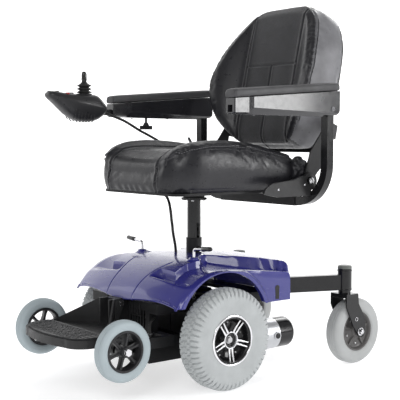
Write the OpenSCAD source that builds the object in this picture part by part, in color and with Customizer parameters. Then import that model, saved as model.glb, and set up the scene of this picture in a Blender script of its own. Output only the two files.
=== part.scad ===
// Mid-wheel-drive power wheelchair with a captain's seat.
// Frame: +Z up with the floor at Z = 0, the chair faces -Y, +X is its left side.
// The origin is the middle of the floor area that the chair covers.

/* [Drive wheels] */
// Radius of the drive tyre over its tread
drive_r = 150.5; // [148:0.5:152]
// Width of the drive tyre
drive_w = 77; // [70:1:80]
// Distance from the centre plane to the middle of a drive wheel
drive_x = 271.4; // [270:0.2:274]
// Position of the drive axle along the chair
drive_y = -100; // [-104:1:-96]

/* [Front wheels] */
// Radius of a front anti-tip wheel
front_r = 87; // [80:1:90]
// Width of a front wheel
front_w = 38; // [30:1:40]
// Distance from the centre plane to the middle of a front wheel
front_x = 228; // [226:1:232]
// Position of the front axles along the chair
front_y = -430; // [-434:1:-428]
// Height of the front axles
front_z = 151.5; // [148:0.5:156]

/* [Casters] */
// Radius of a rear caster wheel
caster_r = 107; // [100:1:107]
// Width of a caster wheel
caster_w = 53; // [44:1:54]
// Distance from the centre plane to the swivel axis
caster_x = 264.5; // [262:0.5:268]
// Position of the caster axles along the chair
caster_y = 450; // [448:1:452]
// Distance from the swivel axis back to the wheel axle
caster_trail = 40; // [36:1:44]

/* [Shroud] */
// Width of the painted shroud
shroud_w = 554; // [548:1:556]
// Wall thickness of the shroud
shroud_t = 3.5; // [3:0.5:4]
// Height of the shroud's top at the seat post
shroud_z = 374; // [370:1:376]

/* [Seat] */
// Position of the seat post along the chair
post_y = -5; // [-8:1:0]
// Width of the seat cushion
seat_w = 460; // [440:2:464]
// Height of the cushion's underside
seat_z = 576.5; // [576:0.5:580]
// Height of the cushion's middle above its underside
seat_t = 126; // [110:1:130]
// Width of the backrest
back_w = 480; // [460:2:484]
// Height of the backrest along its own slope
back_h = 487; // [470:1:490]
// Lean of the backrest
back_lean = 11.75; // [11:0.25:12.5]

/* [Armrests] */
// Distance from the centre plane to the middle of an arm pad
arm_x = 313.8; // [312:0.2:314]
// Width of an arm pad
pad_w = 50; // [46:1:50]
// Length of an arm pad
pad_len = 426; // [410:1:430]

/* [Footplate] */
// Half of the footplate's width
foot_w = 165; // [150:1:170]
// Front edge of the footplate
foot_front = -557; // [-557:1:-550]
// Height of the footplate's mat
foot_z = 184; // [180:1:188]

/* [Hidden] */
$fn = 64;
gap = 0.3;
shaft_gap = 0.05;

// Drive train, as offsets from the drive axle
rim_r = 64;
ring_r = 75;
hub_r = 20;
axle_r = 10;
gearbox_in = 133;
gearbox_out = 222;
motor_x = 183;
motor_z = 121;
motor_r = 48;
motor_front = -10;
motor_mid = 161;
motor_end = 225;
lever_x = 137;
lever_y = -111;

// Frame
rail_in = 150;
rail_out = 175;
rail_z0 = 226;
rail_z1 = 256;
tub_y0 = -275;
tub_y1 = 132;
tub_x = 134.5;
tub_z = 76;
sheet = 3;
arm_bar_in = 185;
arm_bar_out = 203;

// Rear arms and caster barrels
arm_tube_h = 50;
arm_tube_w = 25;
arm_z = 245;
barrel_r = 23;
barrel_z0 = 243;
barrel_z1 = 315;
barrel_y = caster_y - caster_trail;
stem_r = 10;
fork_t = 5;
fork_in = caster_w / 2 + 4.5;
arm_start = [164, 150];

// Shroud outline
shroud_side_front = -277;
shroud_mid_front = -293;
shroud_side_rear = 158;
shroud_mid_rear = 230;
arch_y = -102;
arch_z = 180;
arch_r = 166;

// Seat post
post_r = 21.5;
post_wall = 3;
socket_r = 25;
socket_z0 = 262;
socket_z1 = 421;
post_z0 = 339;
post_z1 = 548;
pin_z = 387;
pin_r = 4.7;
hole_pitch = 25;

// Seat frame
pan_z0 = 568;
lever_pin = [-42, 24];
pan_x = 204;
hinge_x = 250;
hinge_y = 254;
hinge_z = 604;
hinge_pin_r = 6;
bar_y = 274;
bar_z = 537;
tube = 27;
bend_r = 117;

// Armrests
arm_front = -120;
arm_rear = arm_front + pad_len;
pivot_y = bar_y;
pivot_z = 826;
pad_t = 27;
pad_front_z = 851;
pad_rise = 4.2;
socket_w = 20.4;
mount_w = 19;
mount_z = 822;

// Joystick
stick_x = -290;
stick_y = -232;
stick_z = 866;
box_w = 88;
gaiter_z = 879.2;

// Footplate
foot_t = 24;
mat_t = 5;
foot_hinge_y = -305;
foot_hinge_z = 245;
foot_rear = -432;

// Control cable
cable_end = -150;
cable_r = 4.4;
cable_sides = 10;
// Middle of the cable from the shroud up to the level where the seat takes it
cable_low = [
  [-42, -46, 371], [-42, -48, 392], [-40, -54, 414], [-38, -60, 436], [-37, -64, 461.7]
];
// Middle of the cable from there, under the seat and up its right side, to the joystick
cable_high = [
  [-37, -64, 462], [-37, -67, 480], [-37, -69, 498], [-40, -70, 516], [-48, -68, 532],
  [-64, -62, 544], [-86, -52, 550], [-112, -40, 553], [-140, -26, 555], [-168, -12, 557],
  [-194, 4, 560], [-216, 22, 566], [-234, 40, 575], [-246, 58, 586], [-255, 76, 600],
  [-261, 90, 618], [-264, 98, 640], [-266, 98, 664], [-267, 92, 686], [-268, 80, 706],
  [-269, 60, 721], [-270, 35, 734], [-270, 5, 748], [-270, -27, 762], [-272, -58, 779],
  [-273, -88, 794], [-275, -115, 804], [-277, -134, 811], [-278, cable_end, 817]
];

// Helpers --------------------------------------------------------------

// Points of an arc about a centre, from one angle to another
function arc(centre, r, from, to, n = 12) =
  [for (i = [0:n]) let (a = from + (to - from) * i / n) centre + r * [cos(a), sin(a)]];

// Cylinder along X, centred on a point of the YZ plane
module x_rod(r, x0, x1, y = 0, z = 0) {
  translate([x0, y, z]) rotate([0, 90, 0]) cylinder(r = r, h = x1 - x0);
}

// Cylinder along Y, centred on a point of the XZ plane
module y_rod(r, y0, y1, x = 0, z = 0) {
  translate([x, y0, z]) rotate([-90, 0, 0]) cylinder(r = r, h = y1 - y0);
}

module z_rod(r, z0, z1, x = 0, y = 0) {
  translate([x, y, z0]) cylinder(r = r, h = z1 - z0);
}

// Box from its low corner to its high corner
module block(low, high) {
  translate(low) cube(high - low);
}

// A profile drawn in Y and Z, extruded along X
module side_plate(x0, x1, points) {
  translate([x0, 0, 0]) rotate([90, 0, 90]) linear_extrude(x1 - x0) polygon(points);
}

// A profile drawn in X and Z, extruded along Y
module front_plate(y0, y1, points) {
  translate([0, y1, 0]) rotate([90, 0, 0]) linear_extrude(y1 - y0) polygon(points);
}

// The shape as drawn and its mirror image across the centre plane
module both_sides() {
  children();
  mirror([1, 0, 0]) children();
}

// The shape on the left side, or mirrored onto the right
module on_side(side) {
  if (side > 0) children();
  else mirror([1, 0, 0]) children();
}

// A solid of revolution about an axis along X, its profile given as [radius, x]
module x_turned(x, y, z, points) {
  translate([x, y, z]) rotate([90, 0, 90]) rotate_extrude($fn = 96) polygon(points);
}

// Outline of a rounded rectangle centred on the origin
module rounded_rect(w, h, r) {
  polygon(concat(
    arc([w / 2 - r, h / 2 - r], r, 0, 90, 6), arc([r - w / 2, h / 2 - r], r, 90, 180, 6),
    arc([r - w / 2, r - h / 2], r, 180, 270, 6), arc([w / 2 - r, r - h / 2], r, 270, 360, 6)
  ));
}

// Half profile of a tyre: rounded tread, side walls drawn in towards the bead
function tyre_profile(r, bead, w, shoulder, inset) = concat(
  [[bead, -w / 2 + inset + 7], [bead + 8, -w / 2 + inset]],
  arc([r - shoulder, -w / 2 + shoulder], shoulder, 270, 360, 8),
  arc([r - shoulder, w / 2 - shoulder], shoulder, 0, 90, 8),
  [[bead + 8, w / 2 - inset], [bead, w / 2 - inset - 7]]
);

// Tube swept along a list of points
function unit(v) = v / norm(v);
function path_dir(p, i) =
  i == 0 ? unit(p[1] - p[0])
  : i == len(p) - 1 ? unit(p[i] - p[i - 1])
  : unit(unit(p[i] - p[i - 1]) + unit(p[i + 1] - p[i]));
function ring(p, i, r, n) =
  let (d = path_dir(p, i), side = unit(cross(d, [0.83, 0.55, 0.05])), up = cross(side, d))
  [for (k = [0:n - 1]) let (a = 360 * k / n) p[i] + r * (cos(a) * side + sin(a) * up)];

module swept_tube(p, r, n) {
  last = len(p) - 1;
  points = [for (i = [0:last]) each ring(p, i, r, n)];
  walls = [for (i = [0:last - 1], k = [0:n - 1])
    [i * n + k, i * n + (k + 1) % n, (i + 1) * n + (k + 1) % n, (i + 1) * n + k]];
  ends = [[for (k = [n - 1:-1:0]) k], [for (k = [0:n - 1]) last * n + k]];
  polyhedron(points, concat(walls, ends), convexity = 6);
}

// Base ------------------------------------------------------------------

module battery_tub() {
  difference() {
    block([-tub_x, tub_y0, tub_z], [tub_x, tub_y1, 150]);
    block([-tub_x + sheet, tub_y0 + sheet, tub_z + sheet], [tub_x - sheet, tub_y1 - sheet, 160]);
  }
  difference() {
    block([-tub_x, tub_y0, 140], [tub_x, tub_y0 + sheet, rail_z1]);
    for (x = [-110:14:-40], side = [-1, 1]) {
      block([side * x - 4, tub_y0 - 1, 178], [side * x + 4, tub_y0 + sheet + 1, 232]);
    }
  }
}

// Two top rails, tied to the tub by side plates and to each other by cross plates
module rails() {
  both_sides() {
    block([rail_in, tub_y0, rail_z0], [rail_out, 170, rail_z1]);
    block([rail_in, 148, rail_z0], [rail_out, 170, arm_z + arm_tube_h]);
    for (y = [tub_y0, 100]) {
      block([tub_x - sheet, y, 140], [tub_x, y + 32, rail_z1]);
      block([tub_x - sheet, y, rail_z0], [rail_in + 2, y + 32, rail_z1]);
    }
  }
  for (y = [tub_y0 + sheet, post_y - 35, 100]) {
    block([-rail_in - 1, y, 246], [rail_in + 1, y + 70, rail_z1]);
  }
}

// Arms reaching forward to the front wheels, welded to the tub's sides
module front_arms() {
  color("#202124") difference() {
    union() {
      block([-arm_bar_out, -262, 138], [arm_bar_out, -236, 168]);
      both_sides() {
        side_plate(arm_bar_in, arm_bar_out, concat(
          [[-236, 138], [-236, 168]],
          arc([front_y, front_z], 17, 90, 270, 12)
        ));
      }
    }
    block([-tub_x, -262.5, 130], [tub_x, -230, 180]);
    x_rod(6.2, -arm_bar_out - 1, arm_bar_out + 1, front_y, front_z);
  }
}

module foot_post() {
  difference() {
    block([-20, -320, 178], [20, tub_y0, 258]);
    block([-15, -315, 170], [15, tub_y0 - 5, 228]);
    x_rod(5.2, -30, 30, foot_hinge_y, foot_hinge_z);
  }
}

module base_frame() {
  color("#202124") {
    battery_tub();
    rails();
    foot_post();
  }
}

module batteries() {
  color("#2b2b2e") both_sides() {
    block([2, -98, tub_z + sheet], [129.5, 98, 232]);
    for (y = [-86, 72]) {
      block([18, y, 232], [34, y + 14, 243]);
    }
  }
}

module controller_box() {
  color("#3a3b3d") {
    block([-95, -262, tub_z + sheet], [95, -120, 128]);
    for (x = [-85:17:85]) {
      block([x - 1.5, -255, 128], [x + 1.5, -127, 142]);
    }
  }
}

// Shroud outline in plan, drawn in by t
function shroud_plan(t) = let (w = shroud_w / 2 - t) concat(
  [for (i = [-8:8]) let (x = w * i / 8)
    [x, shroud_mid_front + t + (shroud_side_front - shroud_mid_front) * pow(i / 8, 2)]],
  [for (i = [8:-1:-8]) let (x = w * i / 8)
    [x, shroud_mid_rear - t - (shroud_mid_rear - shroud_side_rear) * pow(i / 8, 2)]]
);

// Height of the shroud along its middle
function shroud_height(y) =
  y < -110 ? 255 + (shroud_z - 257) * pow(max(0, 1 - pow((-110 - y) / 183, 1.7)), 1 / 1.7)
  : y < post_y ? shroud_z - 2 * pow((post_y - y) / 105, 2)
  : shroud_z - 22 * pow((y - post_y) / 235, 2);

// Side profile of the shroud, moved back and down by t
function shroud_profile(t, floor_z) = concat(
  [for (y = [-292.8:9.14:-110]) [y + t, shroud_height(y) - t]],
  [for (y = [-100:20:240]) [y + t, shroud_height(y) - t]],
  [[240 + t, floor_z - 16], [-293 + t, floor_z]]
);

// Crown of the shroud across its width: high in the middle, falling to the sides
function shroud_crown(t) = let (w = shroud_w / 2 - t) [
  [-w, 150], [-w, 340 - t], [-w + 5, 350 - t], [-w + 17, 357 - t], [-200, 366 - t],
  [-120, 376 - t], [-60, 400], [60, 400], [120, 376 - t], [200, 366 - t],
  [w - 17, 357 - t], [w - 5, 350 - t], [w, 340 - t], [w, 150]
];

module shroud_form(t, floor_z) {
  intersection() {
    translate([0, 0, 150]) linear_extrude(300) polygon(shroud_plan(t));
    side_plate(-300, 300, shroud_profile(t, floor_z));
    translate([0, -90, 357]) rotate([-5.9, 0, 0]) translate([0, 90, -357])
      front_plate(-400, 400, shroud_crown(t));
  }
}

module shroud() {
  color("#3c46b4") difference() {
    union() {
      difference() {
        shroud_form(0, 255);
        shroud_form(shroud_t, 200);
      }
      both_sides() z_rod(15, 366, 377, lever_x, lever_y);
    }
    both_sides() {
      z_rod(10, 340, 390, lever_x, lever_y);
      x_rod(arch_r, 226, 300, arch_y, arch_z);
      block([164, 120, 150], [210, 300, 302]);
      x_rod(9, 270, 280, 108, 262);
      block([270, 99, 247], [280, 117, 262]);
    }
    z_rod(28, 340, 390, 0, post_y);
    z_rod(6, 340, 390, cable_low[0][0], cable_low[0][1]);
    block([-21, -330, 240], [21, -274, 262]);
    block([-52, 205, 303], [52, 240, 339]);
  }
}

// Charger panel set through the shroud's rear wall
module rear_panel() {
  color("#1c1c1e") difference() {
    union() {
      front_plate(231, 236, [[-60, 297], [60, 297], [60, 345], [-60, 345]]);
      block([-51, 206, 304], [51, 231, 338]);
      y_rod(7, 236, 239, 26, 321);
    }
    y_rod(11, 212, 240, -26, 321);
  }
}

module post_socket() {
  color("#1e1f21") difference() {
    union() {
      z_rod(socket_r, socket_z0, socket_z1, 0, post_y);
      block([-48, post_y - 33, rail_z1], [48, post_y + 33, socket_z0]);
      x_rod(8, -socket_r - 3, socket_r + 3, post_y, pin_z);
    }
    z_rod(post_r + shaft_gap, rail_z1 - 1, socket_z1 + 1, 0, post_y);
    x_rod(pin_r + shaft_gap, -60, 60, post_y, pin_z);
  }
}

module gearboxes() {
  color("#8f9296") both_sides() difference() {
    union() {
      side_plate(gearbox_in + 14, gearbox_out - 14, concat(
        arc([drive_y, drive_r], 52, 0, 180, 14),
        [[drive_y - 52, 110], [drive_y - 30, 76], [-22, 76], [motor_front, 84], [motor_front, 150]]
      ));
      x_rod(30, gearbox_in + 2, gearbox_out, drive_y, drive_r);
      y_rod(42, -40, motor_front, motor_x, motor_z);
      block([rail_in + 2, drive_y - 40, 190], [rail_out - 2, drive_y + 40, rail_z0]);
      z_rod(11, 196, 212, lever_x, lever_y);
    }
    x_rod(axle_r + shaft_gap, gearbox_in - 1, gearbox_out + 1, drive_y, drive_r);
    z_rod(4 + shaft_gap, 200, 214, lever_x, lever_y);
  }
}

module motors() {
  color("#b9bcc0") both_sides() difference() {
    union() {
      y_rod(motor_r, motor_front + 8, motor_mid, motor_x, motor_z);
      y_rod(38, motor_front, motor_front + 8, motor_x, motor_z);
      x_rod(13, motor_x + 30, motor_x + motor_r + 3, 146, motor_z);
    }
    x_rod(9, motor_x + motor_r - 3, motor_x + motor_r + 4, 146, motor_z);
  }
}

module motor_end_bells() {
  color("#17181a") both_sides() {
    translate([motor_x, motor_mid, motor_z]) rotate([-90, 0, 0])
      rotate_extrude($fn = 96) polygon(concat(
        [[0, 0], [motor_r - 0.8, 0]],
        arc([motor_r - 15, motor_end - motor_mid - 14.2], 14.2, 0, 90, 6),
        [[0, motor_end - motor_mid]]
      ));
    x_rod(8.8, motor_x + motor_r - 2.8, motor_x + motor_r + 4.5, 146, motor_z);
  }
}

module rear_arm() {
  run = [caster_x, barrel_y] - arm_start;
  heading = atan2(run[1], run[0]);
  difference() {
    union() {
      translate([arm_start[0], arm_start[1], arm_z]) rotate([0, 0, heading])
        translate([0, -arm_tube_w / 2, 0]) cube([norm(run), arm_tube_w, arm_tube_h]);
      z_rod(barrel_r, barrel_z0, barrel_z1, caster_x, barrel_y);
    }
    z_rod(stem_r + shaft_gap, barrel_z0 - 1, barrel_z1 + 1, caster_x, barrel_y);
    z_rod(14, barrel_z1 - 12, barrel_z1 + 1, caster_x, barrel_y);
    z_rod(14, barrel_z0 - 1, barrel_z0 + 12, caster_x, barrel_y);
  }
}

module rear_arms() {
  color("#1b1c1e") both_sides() difference() {
    rear_arm();
    block([100, 100, 200], [260, 170, 300]);
  }
}

module barrel_caps() {
  color("#9a9da1") both_sides() {
    translate([caster_x, barrel_y, barrel_z1]) rotate_extrude() polygon(concat(
      [[0, 5], [18, 5], [18, 0], [barrel_r, 0]],
      arc([barrel_r - 6, 4], 6, 0, 90, 6), [[0, 11]]
    ));
  }
}

// Plain pins at the front of the base: both wheel axles and the footplate's hinge pin
module front_axle_pins() {
  color("#c4c6c9") x_rod(5, -31, 31, foot_hinge_y, foot_hinge_z);
  color("#c4c6c9") both_sides() {
    x_rod(8, 31, 36, foot_hinge_y, foot_hinge_z);
    x_rod(6, arm_bar_in - 6, front_x + 24, front_y, front_z);
    x_rod(10.5, front_x + 24, front_x + 31, front_y, front_z, $fn = 6);
    x_rod(10.5, arm_bar_in - 11, arm_bar_in - 4, front_y, front_z);
    x_rod(9.5, arm_bar_out, front_x - 17.5, front_y, front_z);
  }
}

// Wheels ------------------------------------------------------------------

module drive_tyre(side) {
  color("#d5dade") on_side(side)
    x_turned(drive_x, drive_y, drive_r, tyre_profile(drive_r, rim_r, drive_w, 24, 5));
}

// Dished rim with an outer ring, five pairs of ribs and a stepped hub
module drive_rim(side) {
  color("#2a2b2d") on_side(side) difference() {
    union() {
      x_turned(drive_x, drive_y, drive_r, [
        [58, -30], [rim_r - gap, -30], [rim_r - gap, 27.4], [72, 34.6], [ring_r, 35.4],
        [ring_r, 37.4], [68, 37.4], [61, 30], [59, 22], [hub_r + 6, 14], [hub_r + 6, 6], [58, 12]
      ]);
      x_turned(drive_x, drive_y, drive_r, [
        [axle_r + shaft_gap, -38], [hub_r, -38], [hub_r, 6], [hub_r + 7, 6], [hub_r + 7, 27],
        [16, 27], [16, 16], [axle_r + shaft_gap, 16]
      ]);
      for (i = [0:4], spread = [-1, 1]) {
        translate([drive_x, drive_y, drive_r]) rotate([90 + 72 * i + spread * 8, 0, 0])
          translate([20, -2.3, hub_r + 5]) cube([8, 4.6, 38]);
      }
    }
    x_rod(axle_r + shaft_gap, drive_x - 40, drive_x + 17, drive_y, drive_r);
    x_rod(16, drive_x + 16, drive_x + 30, drive_y, drive_r);
  }
}

module drive_axle(side) {
  color("#b8babd") on_side(side) {
    x_rod(axle_r, gearbox_in + 20, drive_x + 16.2, drive_y, drive_r);
    x_rod(14.5, drive_x + 16.2, drive_x + 18, drive_y, drive_r);
    x_rod(9, drive_x + 18, drive_x + 24, drive_y, drive_r, $fn = 6);
  }
}

module front_tyre(side) {
  color("#c3d2d8") on_side(side)
    x_turned(front_x, front_y, front_z, tyre_profile(front_r, 55, front_w, 15, 2));
}

module front_rim(side) {
  color("#232427") on_side(side) {
    difference() {
      union() {
        x_turned(front_x, front_y, front_z, [
          [51, -16], [58, -16], [58, -13.5], [55 - gap, -10.3], [55 - gap, 10.3], [58, 13.5],
          [58, 16], [51, 16]
        ]);
        x_rod(14, front_x - 17, front_x + 23.5, front_y, front_z);
        for (i = [0:5]) {
          translate([front_x, front_y, front_z]) rotate([60 * i + 20, 0, 0])
            block([-9, -2.5, 11], [11, 2.5, 52]);
        }
      }
      x_rod(6 + shaft_gap, front_x - 20, front_x + 24, front_y, front_z);
    }
  }
}

// Bolt through the fork legs, with its head, nut and two spacers
module caster_axle() {
  leg_out = fork_in + fork_t;
  x_rod(5.9, caster_x - leg_out - 5, caster_x + leg_out + 5, caster_y, caster_r);
  for (x = [caster_x - leg_out - 7, caster_x + leg_out + shaft_gap]) {
    x_rod(10, x, x + 7 - shaft_gap, caster_y, caster_r, $fn = 6);
  }
  for (x = [caster_x - fork_in + shaft_gap, caster_x + 27.3]) {
    x_rod(9, x, x + fork_in - 27.3 - shaft_gap, caster_y, caster_r);
  }
}

module caster_fork(side) {
  leg_top = caster_r * 2 + 8;
  color("#202124") on_side(side) {
    difference() {
      union() {
        z_rod(stem_r, leg_top + 12, barrel_z1 - 1, caster_x, barrel_y);
        z_rod(20, leg_top + 12, barrel_z0 - 0.5, caster_x, barrel_y);
        block([caster_x - fork_in - fork_t, barrel_y - 27, leg_top],
              [caster_x + fork_in + fork_t, barrel_y + 27, leg_top + 12]);
        for (x = [caster_x - fork_in - fork_t, caster_x + fork_in]) {
          side_plate(x, x + fork_t, concat(
            [[barrel_y - 27, leg_top + 12], [barrel_y - 27, 196], [barrel_y + 6, 128]],
            arc([caster_y + 4, caster_r], 19, 200, 380, 12),
            [[caster_y + 20, 152], [barrel_y + 30, 200], [barrel_y + 27, leg_top + 12]]
          ));
        }
      }
      x_rod(5.9 + shaft_gap, caster_x - 60, caster_x + 60, caster_y, caster_r);
      x_rod(5, caster_x - 60, caster_x + 60, caster_y - 20, 150);
    }
    caster_axle();
  }
}

module caster_tyre(side) {
  color("#ccd2d5") on_side(side)
    x_turned(caster_x, caster_y, caster_r, tyre_profile(caster_r, 62, caster_w, 21, 3));
}

module caster_rim(side) {
  color("#4a4645") on_side(side) {
    difference() {
      union() {
        x_turned(caster_x, caster_y, caster_r, [
          [16, -5], [54, -5], [56, -17], [62 - gap, -17], [62 - gap, 17], [56, 17],
          [54, 5], [16, 5]
        ]);
        x_rod(18, caster_x - 27, caster_x + 27, caster_y, caster_r);
        for (i = [0:4]) {
          translate([caster_x, caster_y, caster_r]) rotate([72 * i, 0, 0])
            translate([-9, 0, 38]) rotate([0, 90, 0]) cylinder(r = 6, h = 18, $fn = 24);
        }
      }
      x_rod(5.9 + shaft_gap, caster_x - 30, caster_x + 30, caster_y, caster_r);
    }
  }
}

// Freewheel levers --------------------------------------------------------

module freewheel_lever(side) {
  elbow = 10;
  top = 404;
  color("#c9cbce") on_side(side) {
    z_rod(4, 201, top - elbow, lever_x, lever_y);
    translate([lever_x + elbow, lever_y, top - elbow]) rotate([90, 0, 0])
      rotate_extrude(angle = 90, start = 90) translate([elbow, 0]) circle(4);
    translate([lever_x + elbow, lever_y, top]) rotate([0, 85, 0]) {
      cylinder(r = 4, h = 40);
      translate([0, 0, 34]) cylinder(r = 6, h = 32);
      translate([0, 0, 66]) sphere(6);
    }
  }
}

// Footplate ---------------------------------------------------------------

function foot_edge(x, t) = foot_front + t + x * x / 784;

function foot_outline(t) = let (w = foot_w - t, r = 60) concat(
  [for (i = [-6:6]) let (x = (w - r) * i / 6) [x, foot_edge(x, t)]],
  arc([w - r, foot_edge(w - r, t) + r], r, -78, 0, 8),
  [[w, foot_rear - 12 - t], [w - 12, foot_rear - t], [-w + 12, foot_rear - t], [-w, foot_rear - 12 - t]],
  arc([r - w, foot_edge(w - r, t) + r], r, 180, 258, 8)
);

module footplate() {
  under = foot_z - mat_t - foot_t;
  color("#222326") difference() {
    union() {
      translate([0, 0, under]) linear_extrude(foot_t) polygon(foot_outline(0));
      translate([0, 0, under + 4]) linear_extrude(foot_t - 4)
        polygon([[-150, foot_rear - 1], [150, foot_rear - 1], [27, -331], [-27, -331]]);
      both_sides() {
        translate([150, foot_rear, 0]) rotate([0, 0, 140.5]) rotate([90, 0, 0])
          linear_extrude(5)
          polygon([[0, under + 4], [160, under + 4], [160, 258], [150, 258], [0, foot_z]]);
        side_plate(21.5, 28.5, concat(
          [[-345, under + 4], [-328, under + 4]],
          arc([foot_hinge_y, foot_hinge_z], 13, -25, 90, 8), [[-345, 258]]
        ));
      }
    }
    x_rod(5 + shaft_gap, -60, 60, foot_hinge_y, foot_hinge_z);
    block([-21, -345, 150], [21, -280, 270]);
    translate([0, 0, under - 1]) linear_extrude(foot_t - 3) polygon(foot_outline(6));
  }
}

module foot_mat() {
  color("#2c2c2f") difference() {
    translate([0, 0, foot_z - mat_t]) linear_extrude(mat_t) polygon(foot_outline(5));
    for (y = [-540:16:-446]) {
      block([-foot_w, y, foot_z - 1.5], [foot_w, y + 3, foot_z + 1]);
    }
  }
}

// Seat post and swivel -----------------------------------------------------

module seat_post() {
  color("#b4b6ba") difference() {
    union() {
      z_rod(post_r, post_z0, post_z1 - 6, 0, post_y);
      z_rod(41, post_z1 - 6, post_z1, 0, post_y);
    }
    z_rod(post_r - post_wall, post_z0 - 1, post_z1 - 30, 0, post_y);
    z_rod(12 + shaft_gap, post_z1 - 31, post_z1 + 1, 0, post_y);
    for (i = [-1:3]) {
      x_rod(6, -30, 30, post_y, pin_z + hole_pitch * i);
    }
    block([-30, post_y - pin_r - gap, pin_z - hole_pitch],
          [30, post_y + pin_r + gap, pin_z + 3 * hole_pitch]);
  }
}

module post_pin() {
  color("#d6d8da") {
    x_rod(pin_r, -socket_r - 9, socket_r + 8, post_y, pin_z);
    x_rod(9, socket_r + 8, socket_r + 13, post_y, pin_z);
    translate([socket_r + 20, post_y, pin_z]) sphere(8);
  }
}

module swivel_head() {
  color("#1f2022") {
    z_rod(34, post_z1 + gap, pan_z0, 0, post_y);
    z_rod(12, post_z1 - 28, post_z1 + gap, 0, post_y);
  }
}

module swivel_lever() {
  color("#2a2b2d") translate([lever_pin[0], lever_pin[1], 557]) difference() {
    union() {
      translate([0, 0, -5]) cylinder(r = 9, h = 10);
      rotate([0, 0, 150]) {
        translate([0, -5, -2.5]) cube([122, 10, 5]);
        translate([118, 0, 0]) rotate([0, 90, 0]) cylinder(r = 8, h = 44);
      }
    }
    translate([0, 0, -6]) cylinder(r = 5 + shaft_gap, h = 12);
  }
}

// Seat ---------------------------------------------------------------------

module seat_pan() {
  color("#1d1e20") difference() {
    union() {
      difference() {
        translate([0, -5, pan_z0]) linear_extrude(8) rounded_rect(2 * pan_x, 440, 40);
        translate([0, -5, pan_z0 + 3]) linear_extrude(8) rounded_rect(2 * pan_x - 40, 400, 30);
      }
      both_sides() {
        block([pan_x - 8, 150, pan_z0 - 4], [hinge_x - 5, 272, pan_z0]);
        side_plate(hinge_x - 10, hinge_x - 5, concat(
          [[150, pan_z0 - 4], [272, pan_z0 - 4]],
          arc([hinge_y, hinge_z], 20, 0, 130, 10), [[170, pan_z0 + 12]]
        ));
        block([120, 214, bar_z + 16], [136, 285, pan_z0]);
      }
      z_rod(5, 550, pan_z0, lever_pin[0], lever_pin[1]);
      z_rod(8, 549, 551.5, lever_pin[0], lever_pin[1]);
    }
    x_rod(hinge_pin_r + shaft_gap, -hinge_x - 5, hinge_x + 5, hinge_y, hinge_z);
  }
  color("#b8babd") both_sides() {
    x_rod(hinge_pin_r, hinge_x - 14, hinge_x + 13, hinge_y, hinge_z);
    x_rod(11, hinge_x + 13, hinge_x + 18, hinge_y, hinge_z);
    x_rod(10, hinge_x - 16, hinge_x - 10 - shaft_gap, hinge_y, hinge_z);
  }
}

// Side cushions stand higher than the middle and curve in at the ends
module seat_cushion() {
  color("#26262a") {
    cushion_block();
    hinge_boots();
  }
}

module cushion_block() {
  top = seat_z + seat_t;
  w = seat_w / 2;
  intersection() {
    front_plate(-260, 245, [
      [-w + 24, seat_z], [w - 24, seat_z], [w, seat_z + 34], [w, top - 22], [w - 12, top + 14],
      [w - 36, top + 28], [w - 62, top + 22], [w - 100, top - 2], [0, top], [-w + 100, top - 2],
      [-w + 62, top + 22], [-w + 36, top + 28], [-w + 12, top + 14], [-w, top - 22], [-w, seat_z + 34]
    ]);
    side_plate(-w, w, [
      [-236, seat_z], [232, seat_z], [240, seat_z + 14], [236, 676], [200, 692], [90, 724],
      [-60, 732], [-150, 730], [-212, 706], [-242, 670], [-250, 630], [-246, seat_z + 8]
    ]);
    translate([0, 0, 500]) linear_extrude(300) polygon(concat(
      arc([w - 105, -145], 105, -90, 0), arc([w - 18, 222], 18, 0, 90, 6),
      arc([18 - w, 222], 18, 90, 180, 6), arc([105 - w, -145], 105, 180, 270)
    ));
  }
}

// Soft vinyl boots between the cushion's rear corners and the backrest hinges
module hinge_boots() {
  both_sides() side_plate(hinge_x - 34, hinge_x - 11, [
    [241, 628], [262, 626], [276, 642], [277, 652], [259, 667], [247, 680], [241, 680]
  ]);
}

module armrest_receiver() {
  color("#1d1e20") difference() {
    block([-186, bar_y - 16, bar_z - 16], [186, bar_y + 16, bar_z + 16]);
    block([-190, bar_y - 13.7, bar_z - 13.7], [190, bar_y + 13.7, bar_z + 13.7]);
  }
}

module arm_post() {
  half = tube / 2;
  bend_x = arm_x - bend_r;
  block([60, bar_y - half, bar_z - half], [bend_x, bar_y + half, bar_z + half]);
  translate([bend_x, bar_y, bar_z + bend_r]) rotate([90, 0, 0])
    rotate_extrude(angle = 90, start = 270, $fn = 96) translate([bend_r, 0]) square(tube, center = true);
  difference() {
    block([arm_x - half, bar_y - half, bar_z + bend_r], [arm_x + half, bar_y + half, pivot_z - 4]);
    block([arm_x - 9, bar_y - 30, pivot_z - 16], [arm_x + 9, bar_y + 30, pivot_z + 20]);
  }
  block([arm_x - 9, bar_y - half, pivot_z - 20], [arm_x + 9, bar_y + half, pivot_z]);
  x_rod(12.5, arm_x - 9, arm_x + 9, pivot_y, pivot_z);
}

module arm_posts() {
  color("#1a1b1d") both_sides() difference() {
    arm_post();
    x_rod(4 + shaft_gap, arm_x - 30, arm_x + 30, pivot_y, pivot_z);
  }
}

module hinge_covers() {
  color("#1b1b1d") both_sides() difference() {
    side_plate(hinge_x + 2, hinge_x + 9, concat(
      [[257, 557], [120, 556], [62, 567], [70, 584], [86, 594], [104, 600], [188, 609], [209, 617]],
      arc([hinge_y + 2, hinge_z - 2], 28, 140, -80, 16)
    ));
    x_rod(hinge_pin_r + 6, hinge_x, hinge_x + 10, hinge_y, hinge_z);
  }
}

// Backrest -----------------------------------------------------------------

// Places a shape given in the backrest's own frame: X across, Y back, Z up the slope
module on_backrest() {
  translate([0, 277, 712]) rotate([-back_lean, 0, 0]) children();
}

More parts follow.
